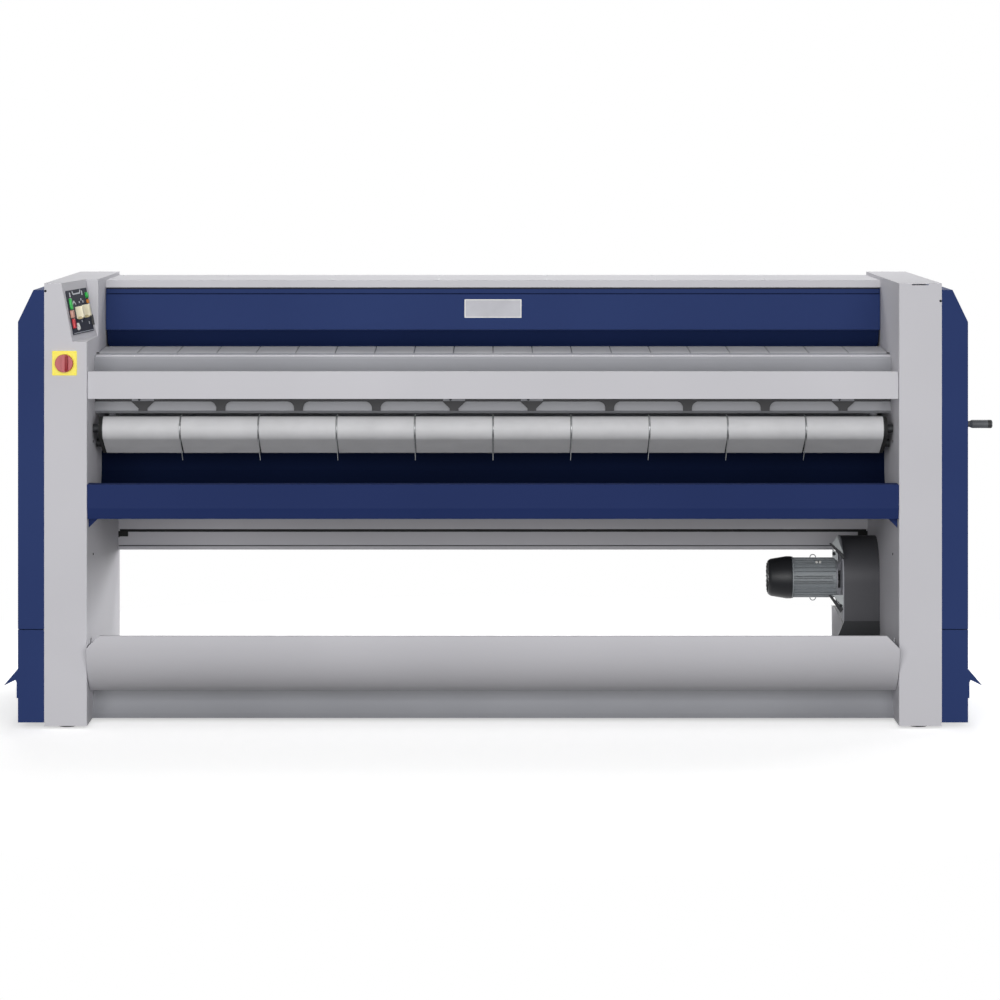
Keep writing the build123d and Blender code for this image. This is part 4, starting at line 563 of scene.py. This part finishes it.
# Rubber seal between the rear panel and its lower rail, and the dark stops where they meet the columns.
rearGap = {"sealX": 1446, "seal": (1099, 1108, 584, 597), "stopX": (1412, 1445), "stop": (1088, 1094, 568, 589),
           "slitX": (1445, 1449.6), "slitTo": 565,
           "seam": (1449, 1091.2, 1092.4, 530, 534)}
gap = []
nearDepth, farDepth, low, high = rearGap["seal"]
seal = block("seal", at(-rearGap["sealX"], nearDepth, low) / mm, at(rearGap["sealX"], farDepth, high) / mm)
soften(seal, 1.5)
gap.append(seal)
for side in (-1, 1):
    nearDepth, farDepth, low, high = rearGap["stop"]
    stop = block("stop", at(side * rearGap["stopX"][0], nearDepth, low) / mm,
                 at(side * rearGap["stopX"][1], farDepth, high) / mm)
    soften(stop, 1.2)
    gap.append(stop)
    # A black block fills the slit beside each column: painted shade for the dark gap there.
    slitPaintedShade = block("slitPaintedShade", at(side * rearGap["slitX"][0], nearDepth, rearGap["slitTo"]) / mm,
                 at(side * rearGap["slitX"][1], farDepth, high) / mm)
    soften(slitPaintedShade, 0.8)
    gap.append(slitPaintedShade)
hand(merge("rearSeal", gap), "nitrileRubberBlack")
end, nearDepth, farDepth, low, high = rearGap["seam"]
seam = block("railSeam", at(-end, nearDepth, low) / mm, at(end, farDepth, high) / mm)
soften(seam, 0.4, 1)
hand(seam, "powderCoatGraphite")

# Thin dark strips along the top and the foot of the hood's upper band: painted shade along its edges and step.
hoodTrim = {"end": 1446, "front": 622.9, "lines": ((1547, 1.6), (1527, 1.5))}
edges = [block("hoodShadeLine", at(-hoodTrim["end"], hoodTrim["front"] - 1.2, z - tall) / mm,
               at(hoodTrim["end"], hoodTrim["front"] + 1, z + tall) / mm)
         for z, tall in hoodTrim["lines"]]
for edge, finish in zip(edges, ("nitrileRubberBlack", "navyPaintedShade")):
    soften(edge, 0.5, 1)
    hand(edge, finish)
# A thin raised border round the name plate, coloured white: a painted highlight on the plate's edge.
plate = {"x": 106.5, "low": 1437.5, "high": 1506.5, "front": 620.9, "rim": 3}
rim = block("plateRimHighlight", at(-plate["x"] + 0.3, plate["front"] - 0.6, plate["low"] + 0.3) / mm,
            at(plate["x"] - 0.3, plate["front"] + 0.3, plate["high"] - 0.3) / mm)
pick(rim, "FACE", lambda m, w: abs(w.y) > 0.9)
bpy.ops.mesh.inset(thickness=plate["rim"] * mm, use_even_offset=True)
bpy.ops.mesh.bridge_edge_loops(use_merge=False)
freeHands()
hand(rim, "polyamideWhite")
print("rear gap and hood trimmed")

fanTrim = {
    "axisDepth": 800, "axisZ": 445, "cowl": ((0, 61), (5, 66), (12, 70), (70, 79.6), (88, 79.6),
                                             (92, 77)), "cowlX": 1040.5,
    "grille": (16, 6, 25, 55), "finBand": (1131, 1281, 433, 463, 721), "fins": 5, "dots": (1222,
                                                                                           1235), "stayDepth": 639,
    "stays": (((1259, 592), (1268, 592), (1317, 546), (1312, 531)),
              ((1256, 398), (1266, 398), (1312, 345), (1302, 332))),
    "gussets": (((1288, 618), (1290, 618), (1313, 552), (1270, 590)),
                ((1271, 572), (1292, 553), (1292, 524), (1271, 541)),
                 ((1272, 398), (1313, 398), (1313, 352), (1311, 352))),
    "bolts": ((1277, 553), (1302, 358)), "ductCheek": (1276, 102, 200, 298, 40),  # the duct's lighter left cheek
}
axisY = frontFace + fanTrim["axisDepth"]
cowl = turned("motorCowl", (fanTrim["cowlX"], axisY, fanTrim["axisZ"]), (1, 0, 0), fanTrim["cowl"], 64)
pick(cowl, "FACE", lambda m, w: w.x < -0.99)
bpy.ops.mesh.inset(thickness=8 * mm)
bpy.ops.mesh.extrude_region_move(TRANSFORM_OT_translate={"value": (2 * mm, 0, 0)})
freeHands()
soften(cowl, 1.2, 2, 25)
count, wide, nearR, farR = fanTrim["grille"]
slots = []
for k in range(count):
    way = Vector((0, math.cos(2 * math.pi * k / count), math.sin(2 * math.pi * k / count)))
    rib = rod("grilleRib", Vector((fanTrim["cowlX"] - 1, axisY, fanTrim["axisZ"])) + way * nearR,
              Vector((fanTrim["cowlX"] - 1, axisY, fanTrim["axisZ"])) + way * farR, wide / 3, 8)
    slots.append(rib)
grille = merge("cowlGrille", [cowl] + slots)
hand(grille, "powderCoatBlack")
# Cooling fins across the motor's middle, and two screws above them.
nearX, farX, low, high, depth = fanTrim["finBand"]
fins = []
for k in range(fanTrim["fins"]):
    z = low + (k + 0.5) * (high - low) / fanTrim["fins"]
    fin = block("fin", at(nearX, depth, z - 1.6) / mm, at(farX, depth + 14, z + 1.6) / mm)
    soften(fin, 0.6, 1)
    fins.append(fin)
hand(merge("motorFins", fins), "paintedCastAluminium")
screws = [((x, axisY - 50, fanTrim["axisZ"] + 62), (0, -0.63, 0.78)) for x in fanTrim["dots"]]
hand(copies(buttonScrew(5.2, 5), "motorScrews", screws), "polyamideWhite")


# a flat plate seen from the front: four (x, z) corners from top left, clockwise
def slab(name, corners, near, far):
    xs, zs = [x for x, z in corners], [z for x, z in corners]
    piece = block(name, at(min(xs), near, min(zs)) / mm, at(max(xs), far, max(zs)) / mm)
    for (x, z), right, top in zip(corners, (False, True, True, False), (True, True, False, False)):
        fromX, fromZ = max(xs) if right else min(xs), max(zs) if top else min(zs)
        pick(piece, "VERT", lambda m, w: abs(m.x - fromX) < 0.01 and abs(m.z - fromZ) < 0.01)
        bpy.ops.transform.translate(value=((x - fromX) * mm, 0, (z - fromZ) * mm))
    freeHands()
    return piece


stays = []
for corners in fanTrim["stays"]:
    stay = slab("stay", corners, fanTrim["stayDepth"] - 7, fanTrim["stayDepth"])
    soften(stay, 0.8, 1)
    stays.append(stay)
hand(merge("fanStays", stays), "powderCoatBlack")
gussets = []
for corners in fanTrim["gussets"]:
    gusset = slab("gusset", corners, fanTrim["stayDepth"] - 3, fanTrim["stayDepth"])
    soften(gusset, 0.5, 1)
    gussets.append(gusset)
hand(merge("fanGussets", gussets), "castPrimerGrey")
hand(copies(hexBolt(5, 6), "stayBolts",
            [(at(x, fanTrim["stayDepth"] - 3, z) / mm, (0, -1, 0)) for x, z in fanTrim["bolts"]]),
     "blackenedSteel")
x, low, fold, high, shift = fanTrim["ductCheek"]
cheek = block("ductCheek", (x - 1.4, 72, low), (x - 0.2, 560, fold))  # flares towards the front only
pick(cheek, "FACE", lambda m, w: w.y > 0.9)
bpy.ops.transform.translate(value=(shift * mm, 0, 0))
pick(cheek, "FACE", lambda m, w: w.z > 0.9)
bpy.ops.mesh.extrude_region_move(TRANSFORM_OT_translate={"value": (0, 0, (high - fold) * mm)})
freeHands()
pick(cheek, "VERT", lambda m, w: m.z > high - 1 and m.y < 100)
bpy.ops.transform.translate(value=(shift * mm, 0, 0))
freeHands()
hand(cheek, "powderCoatLightGrey")
print("exhaust fan dressed")

grip = {"x": (1787, 1803.5), "depth": 150, "z": 1077, "radius": 15.4}
cap = turned("gripCap", (grip["x"][0], frontFace + grip["depth"], grip["z"]), (1, 0, 0),
             ((0, grip["radius"]), (10, grip["radius"]), (14, grip["radius"] * 0.92),
              (16.5, grip["radius"] * 0.7)), 40)
hand(cap, "polyamideBlack", "grip")

# Quarter-turn locks in the corners of the outer panels, cooling louvres in the upper ones.
sidePanels = {"x": 1697, "lockDepths": (60, 1090), "lockHeights": (420, 1400),
              "louvres": 9, "louvrePitch": 34, "louvreLength": 300, "louvreZ": 1170, "louvreDepth": 720}
locks = []
for side in (-1, 1):
    for depth in sidePanels["lockDepths"]:
        locks += [(at(side * sidePanels["x"], depth, z) / mm, (side, 0, 0)) for z in sidePanels["lockHeights"]]
lock = turned("lock", (0, 0, 0), (0, 0, 1), ((0, 13), (1.4, 13), (2.2, 11.4)), 28)
pick(lock, "FACE", lambda m, w: w.z > 0.9)
bpy.ops.mesh.inset(thickness=2.5 * mm)
bpy.ops.mesh.extrude_region_move(TRANSFORM_OT_translate={"value": (0, 0, -1.2 * mm)})
freeHands()
key = block("keyBar", (-1.6, -7.5, 0.6), (1.6, 7.5, 2.2))
soften(key, 0.4, 1)
lock = merge("lock", [lock, key])
hand(copies(lock, "panelLocks", locks), "zincPlatedSteel")


def louvreRows(name, length, count, pitch, height, stands):  # stands are (foot in metres without its height, turn)
    louvre = block("louvre", (-length / 2, -12, 0), (length / 2, 12, 7))
    pick(louvre, "EDGE", lambda m, w: m.z > 6.9 and m.y > 11.9)  # the closed, rounded upper side
    bpy.ops.mesh.bevel(offset=6.8 * mm, segments=4)
    pick(louvre, "EDGE", lambda m, w: m.z > 6.9 and abs(w.y) > 0.5)
    bpy.ops.mesh.bevel(offset=4 * mm, segments=3)
    rows = []
    for foot, turn in stands:
        for k in range(count):
            freeHands()
            louvre.select_set(True)
            bpy.context.view_layer.objects.active = louvre
            bpy.ops.object.duplicate(linked=False)
            row = bpy.context.object
            z = (height + (k - (count - 1) / 2) * pitch) * mm
            row.matrix_world = Matrix.Translation((foot.x, foot.y, z)) @ Matrix(turn).to_4x4()
            bpy.ops.object.transform_apply(location=True, rotation=True, scale=True)
            rows.append(row)
    freeHands()
    bpy.data.objects.remove(louvre)
    return merge(name, rows)


hand(louvreRows("sideLouvres", sidePanels["louvreLength"], sidePanels["louvres"], sidePanels["louvrePitch"],
                sidePanels["louvreZ"], [(at(side * sidePanels["x"], sidePanels["louvreDepth"], 0),
                                         ((0, 0, side), (side, 0, 0), (0, 1, 0))) for side in (-1, 1)]),
     "powderCoatDarkBlue")

inlet = {"x": -1787, "depths": (994, 1126), "heights": (1014, 1146)}
screws = [((inlet["x"], frontFace + depth, z), (-1, 0, 0)) for depth in inlet["depths"] for z in inlet["heights"]]
hand(copies(buttonScrew(5, 3), "inletScrews", screws), "zincPlatedSteel")
print("sides dressed")

rear = {"panelY": 568, "x": 1425, "screwRows": (612, 1073, 1534), "screws": 9,
        "louvreX": (-900, -300, 300, 900), "louvreZ": 1260, "louvres": 7, "louvrePitch": 36, "louvreLength": 220}
hand(copies(buttonScrew(6.5, 3.5), "rearScrews",
            [(((k / (rear["screws"] - 1) * 2 - 1) * rear["x"], rear["panelY"], z), (0, 1, 0))
             for k in range(rear["screws"]) for z in rear["screwRows"]]), "zincPlatedSteel")
hand(louvreRows("rearLouvres", rear["louvreLength"], rear["louvres"], rear["louvrePitch"], rear["louvreZ"],
                [(Vector((x, rear["panelY"], 0)) * mm,
                  ((-1, 0, 0), (0, 0, 1), (0, 1, 0))) for x in rear["louvreX"]]),
     "powderCoatLightGrey")

topScrews = {"z": 1578, "x": 1428, "count": 8, "depths": (720, 1100)}
hand(copies(buttonScrew(6, 1.2), "coverScrews",
            [(at((k / (topScrews["count"] - 1) * 2 - 1) * topScrews["x"], depth, topScrews["z"]) / mm, (0, 0, 1))
             for k in range(topScrews["count"]) for depth in topScrews["depths"]]),
     "zincPlatedSteel")
spigot = {"x": 1390, "z": 200, "radius": 50, "y": 618}
clamp = rod("spigotClamp", (spigot["x"], spigot["y"] - 6, spigot["z"]),
            (spigot["x"], spigot["y"] + 6, spigot["z"]), spigot["radius"] + 1.2, 64)
pick(clamp, "FACE", lambda m, w: abs(w.y) > 0.9)
bpy.ops.mesh.inset(thickness=2.2 * mm)
bpy.ops.mesh.bridge_edge_loops(use_merge=False)
freeHands()
ear = block("clampEar", (spigot["x"] - 5, spigot["y"] - 5, spigot["z"] + spigot["radius"]),
            (spigot["x"] + 5, spigot["y"] + 5, spigot["z"] + spigot["radius"] + 12))
soften(ear, 1)
hand(merge("spigotClamp", [clamp, ear]), "zincPlatedSteel")
print("rear and top dressed")

studio = {
    "skyLevel": 0.22,      # plain grey light from all round
    "keyPower": 640, "keyPlace": (-0.5, -9.0, 2.3), "keySize": (8, 4),
    "sidePower": 60, "sidePlace": (9.5, -4.2, 0.9), "sideSize": (2.5, 1.6),
    # reaches the left column under the rear rail
    "backPower": 420, "backPlace": (6.5, 4.6, 0.75), "backSize": (2.5, 1.2),
    "topPower": 300, "topPlace": (0.3, 4.6, 5.4), "topSize": (6, 2.5),
    "floorTone": "#f4f4f4", "floorLift": 0.55,
    "floorBounce": "#6c6c6c",             # what the floor throws back at the machine
    "shadowNear": 1.9, "shadowFar": 3.2,  # beyond this the floor is plain white, m
}
for key in ("key", "side", "back", "top"):
    bpy.ops.object.light_add(type="AREA", location=studio[key + "Place"])
    lamp = bpy.context.object
    lamp.name = key + "Lamp"
    lamp.rotation_euler = (Vector((0, 0, 0.8)) - lamp.location).to_track_quat("-Z", "Y").to_euler()
    lamp.data.shape = "RECTANGLE"
    lamp.data.size, lamp.data.size_y = studio[key + "Size"]
    lamp.data.energy = studio[key + "Power"]

world = bpy.data.worlds.new("paleRoom")
bpy.context.scene.world = world
world.use_nodes = True
tree = world.node_tree
tree.nodes.clear()
path = addNode(tree, "ShaderNodeLightPath")
seen = addNode(tree, "ShaderNodeMath", {"operation": "MAXIMUM"})
tree.links.new(path.outputs["Is Camera Ray"], seen.inputs[0])
tree.links.new(path.outputs["Is Glossy Ray"], seen.inputs[1])
seenToo = addNode(tree, "ShaderNodeMath", {"operation": "MAXIMUM"})
tree.links.new(seen.outputs["Value"], seenToo.inputs[0])
tree.links.new(path.outputs["Is Transmission Ray"], seenToo.inputs[1])
level = addNode(tree, "ShaderNodeMapRange", {"To Min": studio["skyLevel"], "To Max": 1.0},
                {"Value": seenToo.outputs["Value"]})
sky = addNode(tree, "ShaderNodeBackground", {"Color": (1, 1, 1, 1)}, {"Strength": level.outputs["Result"]})
addNode(tree, "ShaderNodeOutputWorld", {}, {"Surface": sky.outputs["Background"]})

freeHands()
bpy.ops.mesh.primitive_plane_add(size=90, location=(0, 0, 0))
floor = bpy.context.object
floor.name = "studioFloor"
made, tree = newMaterial("paleFloor")  # plain matt floor, lifted to white where nothing shades it
path = addNode(tree, "ShaderNodeLightPath")
seen = addNode(tree, "ShaderNodeMath", {"operation": "MAXIMUM"})
tree.links.new(path.outputs["Is Camera Ray"], seen.inputs[0])
tree.links.new(path.outputs["Is Glossy Ray"], seen.inputs[1])
near = addNode(tree, "ShaderNodeTexCoord")
reach = addNode(tree, "ShaderNodeVectorMath", {"operation": "LENGTH"}, {0: near.outputs["Object"]})
away = addNode(tree, "ShaderNodeMapRange", {"From Min": studio["shadowNear"], "From Max": studio["shadowFar"]},
               {"Value": reach.outputs["Value"]})
matt = addNode(tree, "ShaderNodeBsdfDiffuse", {"Color": colour(studio["floorTone"])})
glow = addNode(tree, "ShaderNodeEmission", {"Color": (1, 1, 1, 1), "Strength": studio["floorLift"]})
lifted = addNode(tree, "ShaderNodeAddShader", {}, {0: matt.outputs["BSDF"], 1: glow.outputs["Emission"]})
white = addNode(tree, "ShaderNodeEmission", {"Color": (1, 1, 1, 1)})
shown = addNode(tree, "ShaderNodeMixShader", {}, {0: away.outputs["Result"], 1: lifted.outputs["Shader"],
                                                 2: white.outputs["Emission"]})
dull = addNode(tree, "ShaderNodeBsdfDiffuse", {"Color": colour(studio["floorBounce"])})
both = addNode(tree, "ShaderNodeMixShader", {}, {0: seen.outputs["Value"], 1: dull.outputs["BSDF"],
                                                2: shown.outputs["Shader"]})
addNode(tree, "ShaderNodeOutputMaterial", {}, {"Surface": both.outputs["Shader"]})
floor.data.materials.append(made)
print("floor and lamps set")
